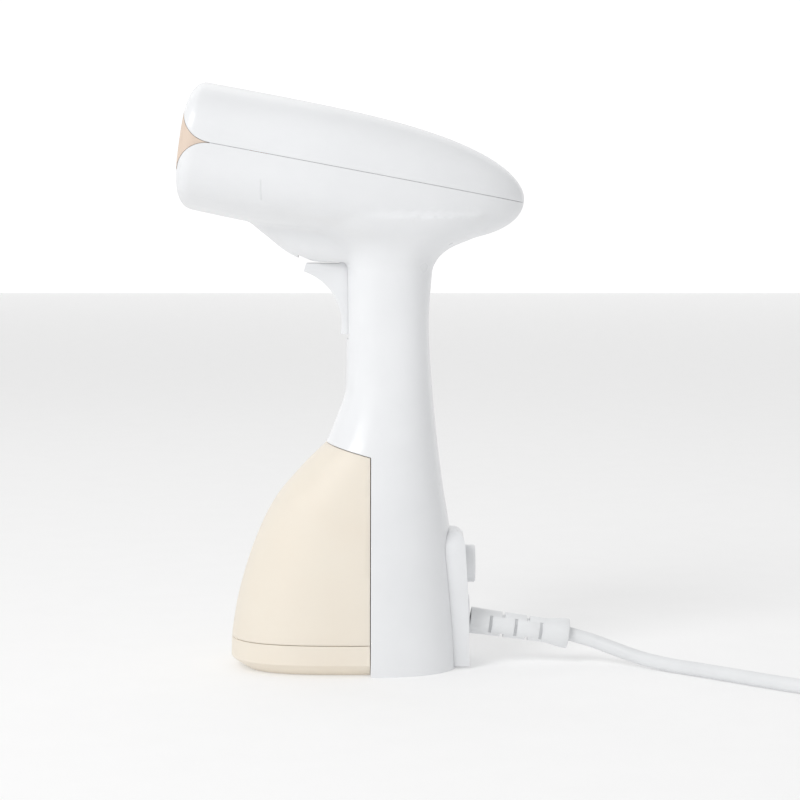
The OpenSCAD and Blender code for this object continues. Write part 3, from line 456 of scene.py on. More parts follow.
def moved(bm: Mesh, matrix: Matrix) -> Mesh:
    """The same bmesh after a transform."""
    bmesh.ops.transform(bm, verts=bm.verts, matrix=matrix)
    return bm


def along_x(at: Point) -> Matrix:
    """Turns +Z into +X and moves to a point."""
    return Matrix.Translation(at) @ Matrix.Rotation(math.radians(90), 4, "Y")


# The shells


@dataclass
class Head:
    """The head's outer form: its cover, its steam panel and its own axes."""

    length: float = 163.0
    width: float = 84.0
    up: float = 36.0
    down: float = 28.5
    tilt: float = 8.0
    mouth: tuple[float, float] = (-78.6, 248.5)
    nose: tuple[float, float, float] = (7.0, 10.5, 6.0)
    upper_lip: float = 14.4
    lower_lip: float = 14.0
    wall: float = 2.4
    seam: float = 0.16
    sides: int = 96

    def axes(self) -> Matrix:
        """The turn and place of the head's own axes."""
        at = Matrix.Translation((self.mouth[0] * MM, 0, self.mouth[1] * MM))
        return at @ Matrix.Rotation(math.radians(self.tilt), 4, "Y") @ Matrix.Scale(MM, 4)

    def parting(self, s: float) -> float:
        """Height of the parting line at s."""
        return -0.35 - 7.45 * s / self.length

    def inset(self, s: float, deep: float) -> float:
        """How far the rounded nose edge draws in at s."""
        n = self.nose[0]
        return deep * (1 - math.sqrt(max(0.0, 1 - (1 - max(0.0, s) / n) ** 2))) if s < n else 0.0

    def top(self, s: float) -> float:
        """Height of the top at s.

        Args:
            s: Distance behind the mouth.

        Returns:
            The height.
        """
        u = min(1.0, s / self.length)
        return (self.parting(self.length)
                + self.up * (1 - 0.208 * u) * math.sqrt(max(0.0, 1 - u ** 4.2))
                - self.inset(s, self.nose[1]))

    def bottom(self, s: float) -> float:
        """Height of the underside at s.

        Args:
            s: Distance behind the mouth.

        Returns:
            The height.
        """
        u = min(1.0, s / self.length)
        belly = 0.86 + 0.14 * math.sin(math.radians(90 * min(1.0, 2 * u)))
        return (self.parting(self.length) - self.down * belly * math.sqrt(max(0.0, 1 - u ** 4.6))
                + self.inset(s, self.nose[1]))

    def half_width(self, s: float) -> float:
        """Half the width at s.

        Args:
            s: Distance behind the mouth.

        Returns:
            Half the width.
        """
        u = min(1.0, s / self.length)
        return (self.width / 2 * (1 - 0.12 * u) * math.sqrt(max(0.0, 1 - u ** 3.2))
                - self.inset(s, self.nose[2]))

    def ring(self, s: float, k: float = 0.0) -> Ring:
        """Section at s, shrunk by k on every side.

        Args:
            s: Distance behind the mouth.
            k: Shrinking, in millimetres.

        Returns:
            The section.
        """
        mid = self.parting(s)
        up, down = max(0.3, self.top(s) - k - mid), max(0.3, mid - self.bottom(s) - k)
        wide = max(0.3, self.half_width(s) - k)
        ring = []
        for i in range(self.sides):
            a = 2 * math.pi * i / self.sides
            c, v = rounded(a, 2.5 if math.sin(a) >= 0 else 2.8)
            ring.append(Vector((s, wide * c, mid + (up if v >= 0 else down) * v)))
        return ring

    def form(self, k: float = 0.0) -> Obj:
        """Closed form of the head, shrunk by k.

        Args:
            k: Shrinking, in millimetres.

        Returns:
            The form.
        """
        n = self.nose[0]
        steps = [n * (1 - math.cos(math.radians(9 * i))) for i in range(11)]
        steps += [n + (self.length - n) * (1 - (1 - i / 56) ** 1.8) for i in range(1, 57)]
        last = self.length - k - (3 if k > 0 else 0.012)
        steps = [max(k, s) for s in steps if s < last] + [last]
        steps = sorted(set(steps))
        return piece("head form", moved(loft([self.ring(s, k) for s in steps]), self.axes()), None)

    def mouth_wedge(self, grow: float = 0.0) -> Obj:
        """The space between the lips.

        Args:
            grow: How much further it reaches on every side.

        Returns:
            A cutter.
        """
        up, low = self.upper_lip, self.lower_lip
        points = [(-5.0, up - 1), (-5.0, -1 - low)]
        for i in range(25):
            turn = math.radians(90) * i / 24
            points.append((up - (low - grow) * math.cos(turn),
                           -1 - low + (low - grow) * math.sin(turn)))
        for i in range(25):
            turn = math.radians(90) * i / 24
            points.append((up - (up - grow) * math.sin(turn), up - 1 - (up - grow) * math.cos(turn)))
        flat = outline_prism(points, 2 * self.width)
        bmesh.ops.remove_doubles(flat, verts=flat.verts, dist=1e-5)
        return piece("mouth", moved(flat, self.axes()), None)

    def parting_slab(self, above: bool) -> Obj:
        """Everything above, or below, the parting surface.

        Args:
            above: True for the side above.

        Returns:
            A cutter.
        """
        gap = self.seam / 2 if above else -self.seam / 2
        far = 90 if above else -340
        a, b = self.parting(-30) + gap, self.parting(self.length + 30) + gap
        points = [(-30, a), (self.length + 30, b), (self.length + 30, far), (-30, far)]
        return piece("slab", moved(outline_prism(points, 3 * self.width), self.axes()), None)

    def cover(self) -> Obj:
        """The head's upper shell.

        Returns:
            The shell.
        """
        shell = self.form()
        carve(shell, [self.parting_slab(True)], "INTERSECT")
        carve(shell, [self.form(self.wall), self.mouth_wedge(0.2)])
        return finish_shell(shell, "head_cover_skin", WHITE, 0.45)

    def panel(self) -> Obj:
        """The steam panel between the lips, with its rows of steam holes.

        Returns:
            The panel.
        """
        shell = self.form(0.05)
        carve(shell, [self.mouth_wedge(0.0)], "INTERSECT")
        tools = [self.form(self.wall)]
        turn = self.axes()
        for t in (-6.0, 4.0):
            for i in range(-4, 5):
                a, b = turn @ Vector((-1, 7.0 * i, t)), turn @ Vector((5, 7.0 * i, t))
                tools.append(rod(a, b, 1.6 * MM, 24))
        carve(shell, tools)
        return finish_shell(shell, "steam_panel_skin", ROSE, 0.25)


def finish_shell(obj: Obj, name: str, finish: Finish, edge: float) -> Obj:
    """Names and dresses a carved shell, and rounds its edges a little.

    Args:
        obj: The shell.
        name: Its name.
        finish: What it is dressed in.
        edge: The rounding of its edges, in millimetres.

    Returns:
        The shell.
    """
    obj.name = obj.data.name = name
    bm = bmesh.new()
    bm.from_mesh(obj.data)
    bmesh.ops.remove_doubles(bm, verts=bm.verts, dist=4e-6)
    bmesh.ops.dissolve_degenerate(bm, edges=bm.edges, dist=4e-6)
    bm.to_mesh(obj.data)
    bm.free()
    obj.data.materials.clear()
    obj.data.materials.append(finish.build())
    mod = obj.modifiers.new("edge", "BEVEL")
    mod.width = edge * MM
    mod.segments = 2
    mod.limit_method = "ANGLE"
    mod.angle_limit = math.radians(50)
    settle(obj, 32)
    return obj


@dataclass
class Body:
    """The housing that holds the grip, and the water tank in front of it."""

    head: Head
    tank_top: float = 105.0
    grip_run: float = 82.0
    grip_front: float = -2.9
    grip_depth: float = 39.5
    grip_width: float = 38.0
    base_width: float = 80.0
    reach: float = 56.8
    kick: float = 13.4
    dock_x: float = 9.0
    dock_slope: float = 15.2
    dock_gap: float = 0.4
    wall: float = 2.4
    tank_wall: float = 2.0
    seam_z: float = 14.7
    lip_z: float = 5.5
    foot_inset: float = 8.0
    spout_z: float = 22.0
    voxel: float = 1.15
    post_r: float = 3.8
    screw_head_r: float = 3.1
    screw_hole_r: float = 1.55
    filler_x: float = -20.0
    filler_r: float = 8.2
    filler_seat_r: float = 10.9
    sides: int = 96
    front_knots: tuple = ((0, 1), (0.08, 1), (0.17, 0.99), (0.35, 0.93), (0.57, 0.8),
                          (0.75, 0.635), (0.9, 0.4), (1, 0.21))
    rear_knots: tuple = ((0, 1), (0.08, 0.96), (0.21, 0.85), (0.35, 0.71), (0.45, 0.49),
                         (0.59, 0.25), (0.77, 0.04), (0.88, 0), (1, 0.12))
    side_knots: tuple = ((0, 1), (0.03, 1), (0.11, 0.96), (0.21, 0.86), (0.32, 0.71), (0.43, 0.55),
                         (0.56, 0.29), (0.65, 0.12), (0.75, 0.02), (0.86, 0), (1, 0.05))
    neck_knots: tuple = ((0, 0, 0, 0), (3.6, 1.9, 0.8, 0.8), (6.8, 4.5, 1.8, 2), (10.6, 10.2, 3.5, 5),
                         (14.4, 19.7, 6, 11), (19, 28, 9.5, 22), (25, 33, 13, 34))
    chin_knots: tuple = ((3.2, -21.5, 12.2), (3.9, -23.3, 13), (8.2, -31.4, 15.2),
                         (14.9, -39.9, 17), (22, -48.5, 18.5), (30, -56, 20))
    screws: tuple = ((-60.6, 222.0), (59, 212.0), (5.2, 148.7), (2, 116), (38, 72.93), (13.4, 82.28))

    @property
    def neck_z(self) -> float:
        """Height at which the grip starts to spread into the head."""
        return self.tank_top + self.grip_run

    def front(self, z: float) -> float:
        """Place of the front at height z.

        Args:
            z: Height, in millimetres.

        Returns:
            The place along X.
        """
        if z <= self.tank_top:
            return -self.reach * curve(z / self.tank_top, self.front_knots)
        knots = ((0, -0.21 * self.reach), (17, self.grip_front - 2.3), (25, self.grip_front),
                 (self.grip_run, self.grip_front))
        return curve(z - self.tank_top, knots)

    def rear(self, z: float) -> float:
        """Place of the rear at height z."""
        return self.grip_front + self.grip_depth + self.kick * curve(z / self.neck_z, self.rear_knots)

    def side(self, z: float) -> float:
        """Half the width at height z."""
        spread = (self.base_width - self.grip_width) / 2
        return self.grip_width / 2 + spread * curve(z / self.neck_z, self.side_knots)

    def oval(self, front: float, rear: float, side: float, z: float, k: float, power: float) -> Ring:
        """Rounded section at height z, shrunk by k.

        Args:
            front: Place of its front.
            rear: Place of its rear.
            side: Half its width.
            z: Height, in millimetres.
            k: Shrinking, in millimetres.
            power: How square it is, where 2 is an oval.

        Returns:
            The section, in metres.
        """
        mid, deep, wide = (front + rear) / 2, (rear - front) / 2 - k, side - k
        ring = []
        for i in range(self.sides):
            c, s = rounded(2 * math.pi * i / self.sides, power)
            ring.append(Vector((mid + deep * c, wide * s, z)) * MM)
        return ring

    def ring(self, z: float, k: float = 0.0, at: Optional[float] = None) -> Ring:
        """Section of the base and grip at height z, laid at height at."""
        power = 2.8 - 0.4 * min(1.0, z / self.tank_top)
        return self.oval(self.front(z), self.rear(z), self.side(z), z if at is None else at, k, power)

    def grip(self, k: float = 0.0) -> Obj:
        """Closed form of the base, grip and neck, carried on below the base.

        Args:
            k: Shrinking, in millimetres.

        Returns:
            The form.
        """
        rings = [self.ring(0, k, -8.0)]
        rings += [self.ring(self.neck_z * i / 70, k) for i in range(70)]
        rear, side = self.rear(self.neck_z), self.side(self.neck_z)
        for i in range(19):
            h = 25.0 * i / 18
            back, out, fore = (curve(h, self.neck_knots, c) for c in (1, 2, 3))
            rings.append(self.oval(self.grip_front - fore, rear + back, side + out,
                                   self.neck_z + h, k, 2.4))
        return piece("grip form", loft(rings), None)

    def chin(self, k: float = 0.0) -> Obj:
        """Closed form of the fairing in front of the grip, under the head.

        Args:
            k: Shrinking, in millimetres.

        Returns:
            The form.
        """
        rings = []
        for i in range(21):
            h = 3.2 + 26.8 * i / 20
            fore, out = curve(h, self.chin_knots, 1), curve(h, self.chin_knots, 2)
            rings.append(self.oval(fore, 30.0, out, self.neck_z + h + k, k, 2.4))
        return piece("chin form", loft(rings), None)

    def dock(self, grow: float = 0.0) -> Obj:
        """The space in front of the dock plane and under its sloping roof.

        Args:
            grow: Growth per side, in millimetres.

        Returns:
            A cutter.
        """
        slope = math.radians(self.dock_slope)
        drop = (self.dock_x + 0.21 * self.reach) * math.tan(slope)
        roof = self.tank_top - drop + grow / math.cos(slope)
        far, x = -160.0, self.dock_x + grow
        points = [(far, -20), (x, -20), (x, roof - grow * math.tan(slope)),
                  (far, roof + (self.dock_x - far) * math.tan(slope))]
        bm = outline_prism([(a * MM, b * MM) for a, b in points], 0.2)
        return piece("dock", bm, None)

    def cavity(self) -> Obj:
        """The housing's hollow, less its screw posts and ribs.

        Returns:
            A cutter.
        """
        hollow = carve(self.grip(self.wall), [self.head.form(self.wall), self.chin(self.wall)], "UNION")
        posts = [self.dock(self.dock_gap + self.wall)]
        for x, z in self.screws:
            posts.append(rod((x * MM, -0.08, z * MM), (x * MM, 0.08, z * MM), self.post_r * MM))
        return carve(hollow, posts)

    def housing(self) -> tuple[Obj, Obj]:
        """The two housings, split on the middle plane.

        Returns:
            The left one (-Y) and the right one (+Y).
        """
        skin = carve(self.grip(), [self.head.form(), self.chin()], "UNION")
        melt = skin.modifiers.new("melt", "REMESH")
        melt.mode = "VOXEL"
        melt.voxel_size = self.voxel * MM
        settle(skin)
        ease = skin.modifiers.new("ease", "SMOOTH")
        ease.factor = 0.5
        ease.iterations = 10
        settle(skin)
        carve(skin, [self.head.parting_slab(False), block((-0.2, -0.1, 0.0), (0.2, 0.1, 0.4))],
              "INTERSECT")
        slot = block((-0.032, -0.0079, 0.1536), (0.008, 0.0079, 0.1903))
        slot_top = block((-0.0255, -0.0079, 0.186), (0.0075, 0.0079, 0.195))
        spout = self.spout_z * MM
        tools = [self.cavity(), self.dock(self.dock_gap), slot, slot_top, self.head.mouth_wedge(0.2),
                 rear_prism(0.25, 42, 70), rod((0, 0, spout), (0.016, 0, spout), 8.6 * MM)]
        tools.append(carve(block((-0.04108, -0.06, 0.2195), (-0.04092, 0.06, 0.2285)),
                           [self.head.form(0.22)]))
        for x, z in self.screws:
            tools.append(rod((x * MM, 0.006, z * MM), (x * MM, 0.086, z * MM), self.screw_head_r * MM))
            tools.append(rod((x * MM, -0.013, z * MM), (x * MM, 0.013, z * MM),
                             self.screw_hole_r * MM, 24))
        carve(skin, tools)
        other = skin.copy()
        other.data = skin.data.copy()
        bpy.context.scene.collection.objects.link(other)
        gap = 0.06 * MM
        carve(skin, [block((-0.2, -0.2, -0.05), (0.2, -gap, 0.4))], "INTERSECT")
        carve(other, [block((-0.2, gap, -0.05), (0.2, 0.2, 0.4))], "INTERSECT")
        return (finish_shell(skin, "left_housing_skin", WHITE, 0.2),
                finish_shell(other, "right_housing_skin", WHITE, 0.2))

    def tank_form(self, k: float, low: float) -> Obj:
        """Closed form of the tank above a height, shrunk by k."""
        rings = [self.ring(low + (112.0 - low) * i / 56, k) for i in range(57)]
        return piece("tank form", loft(rings), None)

    def tank_shell(self) -> Obj:
        """The tank's shell, hollow, with the spout's hole.

        Returns:
            The shell.
        """
        shell = carve(self.tank_form(0, self.seam_z), [self.dock()], "INTERSECT")
        hollow = carve(self.tank_form(self.tank_wall, self.seam_z - 4), [self.dock(-self.tank_wall)],
                       "INTERSECT")
        spout = self.spout_z * MM
        carve(shell, [hollow, rod((0, 0, spout), (0.02, 0, spout), 5.8 * MM)])
        return finish_shell(shell, "tank_shell_skin", TANK, 0.5)

    def tank_floor(self) -> Obj:
        """The tank's floor, with its lip, chamfered foot and filler hole.

        Returns:
            The floor.
        """
        rings = [self.ring(0, self.foot_inset), self.ring(0.9, self.foot_inset - 1.6),
                 self.ring(4.6, 0.9), self.ring(self.lip_z, 0.1), self.ring(self.lip_z + 0.9, 0.0),
                 self.ring(10.0), self.ring(self.seam_z - 0.35)]
        shell = carve(piece("floor", loft(rings), None), [self.dock()], "INTERSECT")
        inner = [self.ring(4.8, 4.0), self.ring(8.8, 2.0), self.ring(self.seam_z + 1, 2.0)]
        hollow = carve(piece("hollow", loft(inner), None), [self.dock(-self.tank_wall)], "INTERSECT")
        x = self.filler_x * MM
        carve(shell, [hollow, rod((x, 0, -0.001), (x, 0, 0.02), self.filler_r * MM),
                      rod((x, 0, -0.001), (x, 0, 0.0024), self.filler_seat_r * MM)])
        return finish_shell(shell, "tank_floor_skin", TANK, 0.35)


def rear_outline(grow: float) -> list[tuple[float, float]]:
    """Outline of the rear panel in Y and Z, in millimetres, grown by grow.

    Args:
        grow: Growth per side, in millimetres.

    Returns:
        The corners.
    """
    r, w, low, top = 11 + grow, 17 + grow, 1.2 - grow, 64 + grow
    points = [(-w, low), (w, low)]
    for side in (1, -1):
        for i in range(17):
            a = math.radians(90 * i / 16 + (0 if side > 0 else 90))
            points.append((side * (w - r) + r * math.cos(a), top - r + r * math.sin(a)))
    return points


def rear_prism(grow: float, start: float, end: float) -> Obj:
    """Prism along X of the rear panel's outline.

    Args:
        grow: Growth per side, in millimetres.
        start: Where it starts.
        end: Where it ends.

    Returns:
        The prism.
    """
    bm = bmesh.new()
    face = bm.faces.new([bm.verts.new((start * MM, y * MM, z * MM)) for y, z in rear_outline(grow)])
    return piece("panel prism", extruded(bm, face, ((end - start) * MM, 0, 0)), None)


@dataclass
class Rear:
    """The rear panel, its power button, the cord's gland and the strain relief."""

    reach: float = 55.4
    inside: float = 42.4
    top: float = 61.0
    button_z: float = 47.0
    button_r: float = 8.8
    flange_z: float = 22.3
    flange_r: float = 9.9
    gland_z: float = 21.0
    relief_at: tuple[float, float] = (55.8, 20.2)
    relief_tilt: float = 8.0
    relief_run: float = 47.3
    slot_half: float = 0.75

    def side(self, k: float) -> Obj:
        """Side outline of the panel, shrunk by k at the rear and top.

        Args:
            k: Shrinking, in millimetres.

        Returns:
            A cutter.
        """
        r, t = self.reach, self.top
        points = [(self.inside - 1, -1), (r - k, -1), (r - 0.3 - k, 20), (r - 0.6 - k, 35),
                  (r - 2.0 - k, t - 3.5 - k), (r - 2.6 - k, t - 0.6 - k), (r - 4.6 - k, t + 1.6 - k),
                  (r - 9 - k, t + 4 - k), (self.inside - 1, t + 4 - k)]
        return piece("side", outline_prism([(x * MM, z * MM) for x, z in points], 0.08), None)

    def panel(self) -> Obj:
        """The panel, a shallow box open to the front.

        Returns:
            The panel.
        """
        shell = carve(rear_prism(0, self.inside, 70), [self.side(0)], "INTERSECT")
        hollow = carve(rear_prism(-2.4, self.inside - 1, 70), [self.side(2.4)], "INTERSECT")
        bz, fz, gz = self.button_z * MM, self.flange_z * MM, self.gland_z * MM
        carve(shell, [hollow, rod((0.02, 0, bz), (0.08, 0, bz), (self.button_r + 0.15) * MM),
                      rod((0.0544, 0, fz), (0.08, 0, fz), (self.flange_r + 0.1) * MM),
                      rod((0.02, 0, gz), (0.08, 0, gz), 6.6 * MM)])
        return finish_shell(shell, "rear_panel_skin", TRIM, 0.8)

    def button(self) -> Obj:
        """The power button, with a slightly dished face and its plunger.

        Returns:
            The button.
        """
        r, out = self.button_r, self.reach + 3.0
        profile = [(0, 42.0), (2, 42.0), (2, 49.2), (r + 1, 49.2), (r + 1, 50.6), (r, 50.7),
                   (r, out - 0.75), (r - 0.2, out - 0.3), (r - 0.65, out), (r - 1.6, out - 0.05),
                   (r - 4.5, out - 0.4), (0, out - 0.55)]
        bm = turned(profile, 72)
        return piece("power_button_skin", moved(bm, along_x((0, 0, self.button_z * MM))), TRIM)

    def gland(self) -> Obj:
        """The thin flange round the cord's exit and its collar.

        Returns:
            The gland.
        """
        low, out = self.inside + 4, self.reach + 0.2
        profile = [(3.25, low), (6.5, low), (6.5, self.reach - 1), (self.flange_r, self.reach - 1),
                   (self.flange_r, out - 0.3), (self.flange_r - 0.3, out), (3.25, out)]
        bm = turned(profile, 72)
        # the flange sits a little above the collar's axis
        for vert in bm.verts:
            if vert.co.z > (self.reach - 1.01) * MM and vert.co.xy.length > 6.6 * MM:
                vert.co.x -= (self.flange_z - self.gland_z) * MM
        return piece("cord_gland_skin", moved(bm, along_x((0, 0, self.gland_z * MM))), TRIM)

    def relief_axes(self) -> Matrix:
        """Place and turn of the strain relief's own axis."""
        at = Matrix.Translation((self.relief_at[0] * MM, 0, self.relief_at[1] * MM))
        return at @ Matrix.Rotation(math.radians(90 + self.relief_tilt), 4, "Y")

    def relief(self) -> Obj:
        """The segmented strain relief.

        Returns:
            The sleeve.
        """
        run = self.relief_run
        profile = [(3.25, 0.2), (6.2, 0.2), (6.2, 1.4), (6.05, 6), (5.85, 20), (5.7, 35), (5.75, 37),
                   (6.1, 39.5), (6.7, 42.4), (6.95, 44.6), (7.0, run - 0.7), (6.85, run - 0.2),
                   (6.4, run), (3.25, run)]
        turn = self.relief_axes()
        body = piece("strain_relief_skin", moved(turned(profile, 72), turn), RELIEF)
        tools = []
        for u in (10.0, 22.0, 34.0, 15.8, 27.6):
            low, high = (u - self.slot_half) * MM, (u + self.slot_half) * MM
            for side in (-1, 1):
                if u in (15.8, 27.6):
                    a, b = sorted((side * 3.8, side * 8))
                    cut = block((a * MM, -0.0062, low), (b * MM, 0.0062, high))
                else:
                    a, b = sorted((side * 3.5, side * 8))
                    cut = block((-0.004, a * MM, low), (0.004, b * MM, high))
                cut.data.transform(turn)
                tools.append(cut)
        carve(body, tools)
        return finish_shell(body, "strain_relief_skin", RELIEF, 0.3)


@dataclass
class Trigger:
    """The trigger, with its forward tab and the hollow for the finger."""

    pivot: tuple[float, float] = (-2.0, 197.5)
    low_z: float = 156.0
    width: float = 15.0
    neck_z: float = 187.0
    hub_r: float = 4.3
    pin_r: float = 1.55
    finger: tuple[float, float, float] = (-30.6, 161.0, 25.9)

    def build(self) -> Obj:
        """The trigger's mesh.

        Returns:
            The object.
        """
        n, p = self.neck_z, self.pivot
        points = [(-22.6, n - 1), (-21.6, n + 2.6), (-5.7, n + 2.6), (-5.7, p[1] - 1),
                  (1.7, p[1] - 1), (3, n + 1), (3, n - 9), (1, n - 11), (1, self.low_z + 2),
                  (0.4, self.low_z + 0.6), (-1.5, self.low_z), (-5.2, self.low_z + 0.3),
                  (-22.6, n - 1.5)]
        body = piece("trigger_skin", outline_prism([(x * MM, z * MM) for x, z in points],
                                                   self.width * MM), TRIM)
        hub = rod((p[0] * MM, -self.width / 2 * MM, p[1] * MM),
                  (p[0] * MM, self.width / 2 * MM, p[1] * MM), self.hub_r * MM)
        nub = rod((0.003, -0.003, (n - 6) * MM), (0.003, 0.003, (n - 6) * MM), 1.2 * MM)
        carve(body, [hub, nub], "UNION")
        x, z, r = self.finger
        carve(body, [rod((x * MM, -0.02, z * MM), (x * MM, 0.02, z * MM), r * MM, 160),
                     rod((p[0] * MM, -0.02, p[1] * MM), (p[0] * MM, 0.02, p[1] * MM), self.pin_r * MM),
                     rod((-0.0008, 0, 0.163), (0.0032, 0, 0.163), 3.4 * MM)])
        return finish_shell(body, "trigger_skin", TRIM, 0.45)


@dataclass
class CordSet:
    """The mains cord from the relief to its plug, coiled on the floor to the rear."""

    radius: float = 3.25
    centre: tuple[float, float] = (272.0, -60.0)
    mid_r: float = 39.0
    plug_x: float = 317.5
    plug_y: float = -9.0
    plug_z: float = 12.0
    lead: tuple = ((102.64, 0, 13.62), (108, -0.6, 12.2), (114, -2, 10.6), (120.5, -4.8, 8.6),
                   (127.5, -9, 6.6), (135, -14.4, 4.8), (143, -20.8, 3.7), (151, -27.8, 3.25),
                   (159, -35.2, 3.25), (168, -44, 3.25), (178, -54, 3.25), (189, -65, 3.25),
                   (201, -76, 3.25), (214, -86, 3.25), (228, -94.2, 3.25), (243, -100.6, 3.25),
                   (258, -104.4, 3.25))
    tail: tuple = ((317.8, -50, 9.8), (317.9, -40, 10.1), (317.8, -30, 10.9), (317.6, -20, 11.6),
                   (317.5, -9, 12))

    def coil(self) -> list[Point]:
        """The coil's points, wound inwards, up, and outwards again.

        Returns:
            The points, in millimetres.
        """
        out, inner, low = self.mid_r + 2 * self.radius, self.mid_r - 2 * self.radius, self.radius
        high, steps, points = 3 * self.radius, 20, []
        laps = ((2.0, out, inner, low, low), (1.0, inner, inner, low, high),
                (2.0, inner, out, high, high), (1.25, out, out, high, high))
        angle = -90.0
        for turns, r0, r1, z0, z1 in laps:
            n = int(turns * steps)
            for i in range(n):
                t = i / n
                a = math.radians(angle + 360 * turns * t)
                r = r0 + (r1 - r0) * t
                points.append((self.centre[0] + r * math.cos(a), self.centre[1] + r * math.sin(a),
                               z0 + (z1 - z0) * t))
            angle += 360 * turns
        points.append((self.centre[0] + out, self.centre[1], high))
        return points

    def route(self) -> list[Point]:
        """Every point of the cord, in metres."""
        whole = list(self.lead) + self.coil() + list(self.tail)
        return [(x * MM, y * MM, z * MM) for x, y, z in whole]

    def build(self) -> Obj:
        """The cord as a smooth tube along its route.

        Returns:
            The object.
        """
        line = bpy.data.curves.new("cord", "CURVE")
        line.dimensions = "3D"
        line.bevel_depth = self.radius * MM
        line.bevel_resolution = 5
        line.resolution_u = 4
        line.use_fill_caps = True
        points = self.route()
        strand = line.splines.new("BEZIER")
        strand.bezier_points.add(len(points) - 1)
        for knot, place in zip(strand.bezier_points, points):
            knot.co = place
            knot.handle_left_type = knot.handle_right_type = "AUTO"
        line.materials.append(CORD.build())
        return added("mains_cord", line)

    def length(self, obj: Obj) -> float:
        """Length of the cord's centreline, in metres."""
        return sum(s.calc_length() for s in obj.data.splines)

    def plug(self) -> Obj:
        """The plug's body: a tapered neck, and a rounded block with finger flutes.

        Returns:
            The body.
        """
        x, y, z = self.plug_x, self.plug_y, self.plug_z
        rings = []
        shape = ((0, 4.6, 4.6, 2.0), (4, 5.1, 5.1, 2.0), (12, 6.2, 6.2, 2.1), (18, 7.0, 7.0, 2.4),
                 (20.5, 9.5, 8.6, 2.8), (23, 14.0, 10.6, 3.4), (26, 16.4, 11.7, 4.0),
                 (31, 16.0, 11.4, 4.0), (37, 16.2, 11.5, 4.0), (43, 16.8, 11.9, 4.2),
                 (45.2, 16.6, 11.7, 4.2), (46, 16.0, 11.2, 4.2))
        for along, wide, high, power in shape:
            ring = []
            for i in range(64):
                c, s = rounded(2 * math.pi * i / 64, power)
                ring.append(Vector((x + wide * c, y + along, z + high * s)) * MM)
            rings.append(ring)
        body = piece("plug_body_skin", loft(rings), RELIEF)
        grips = [rod(((x + side * 18.6) * MM, (y + v) * MM, 0.0),
                     ((x + side * 18.6) * MM, (y + v) * MM, 0.024), 3.0 * MM, 32)
                 for side in (-1, 1) for v in (30.0, 34.0, 38.0)]
        carve(body, grips)
        return finish_shell(body, "plug_body_skin", RELIEF, 0.3)

    def pins(self) -> Obj:
        """The plug's two round pins.

        Returns:
            Both pins, as one object.
        """
        both = bmesh.new()
        for side in (-1, 1):
            pin = turned([(0, 0), (2.4, 0), (2.4, 17.6), (2.1, 18.5), (1.4, 19), (0, 19)], 32)
            at = ((self.plug_x + side * 9.5) * MM, (self.plug_y + 46) * MM, self.plug_z * MM)
            moved(pin, Matrix.Translation(at) @ Matrix.Rotation(math.radians(-90), 4, "X"))
            mesh = bpy.data.meshes.new("pin")
            pin.to_mesh(mesh)
            pin.free()
            both.from_mesh(mesh)
            bpy.data.meshes.remove(mesh)
        return piece("plug_pins_skin", both, NICKEL)

    def tie(self) -> Obj:
        """The strap round the coil's bundle.

        Returns:
            The strap.
        """
        x, y = self.centre[0] - self.mid_r, self.centre[1]
        bm = bmesh.new()
        half_w, high = 11.1, 14.1
        outline = []
        for i in range(48):
            c, s = rounded(2 * math.pi * i / 48, 5.0)
            outline.append((x + half_w * c, high / 2 + 0.02 + high / 2 * s))
        verts = [bm.verts.new((a * MM, (y - 6) * MM, b * MM)) for a, b in outline]
        edges = [bm.edges.new((verts[i], verts[(i + 1) % 48])) for i in range(48)]
        made = bmesh.ops.extrude_edge_only(bm, edges=edges)["geom"]
        bmesh.ops.translate(bm, verts=[g for g in made if isinstance(g, bmesh.types.BMVert)],
                            vec=(0, 12 * MM, 0))
        bmesh.ops.recalc_face_normals(bm, faces=bm.faces)
        bmesh.ops.solidify(bm, geom=bm.faces[:], thickness=0.9 * MM)
        return piece("cord_tie_skin", bm, STRAP)


# The scene


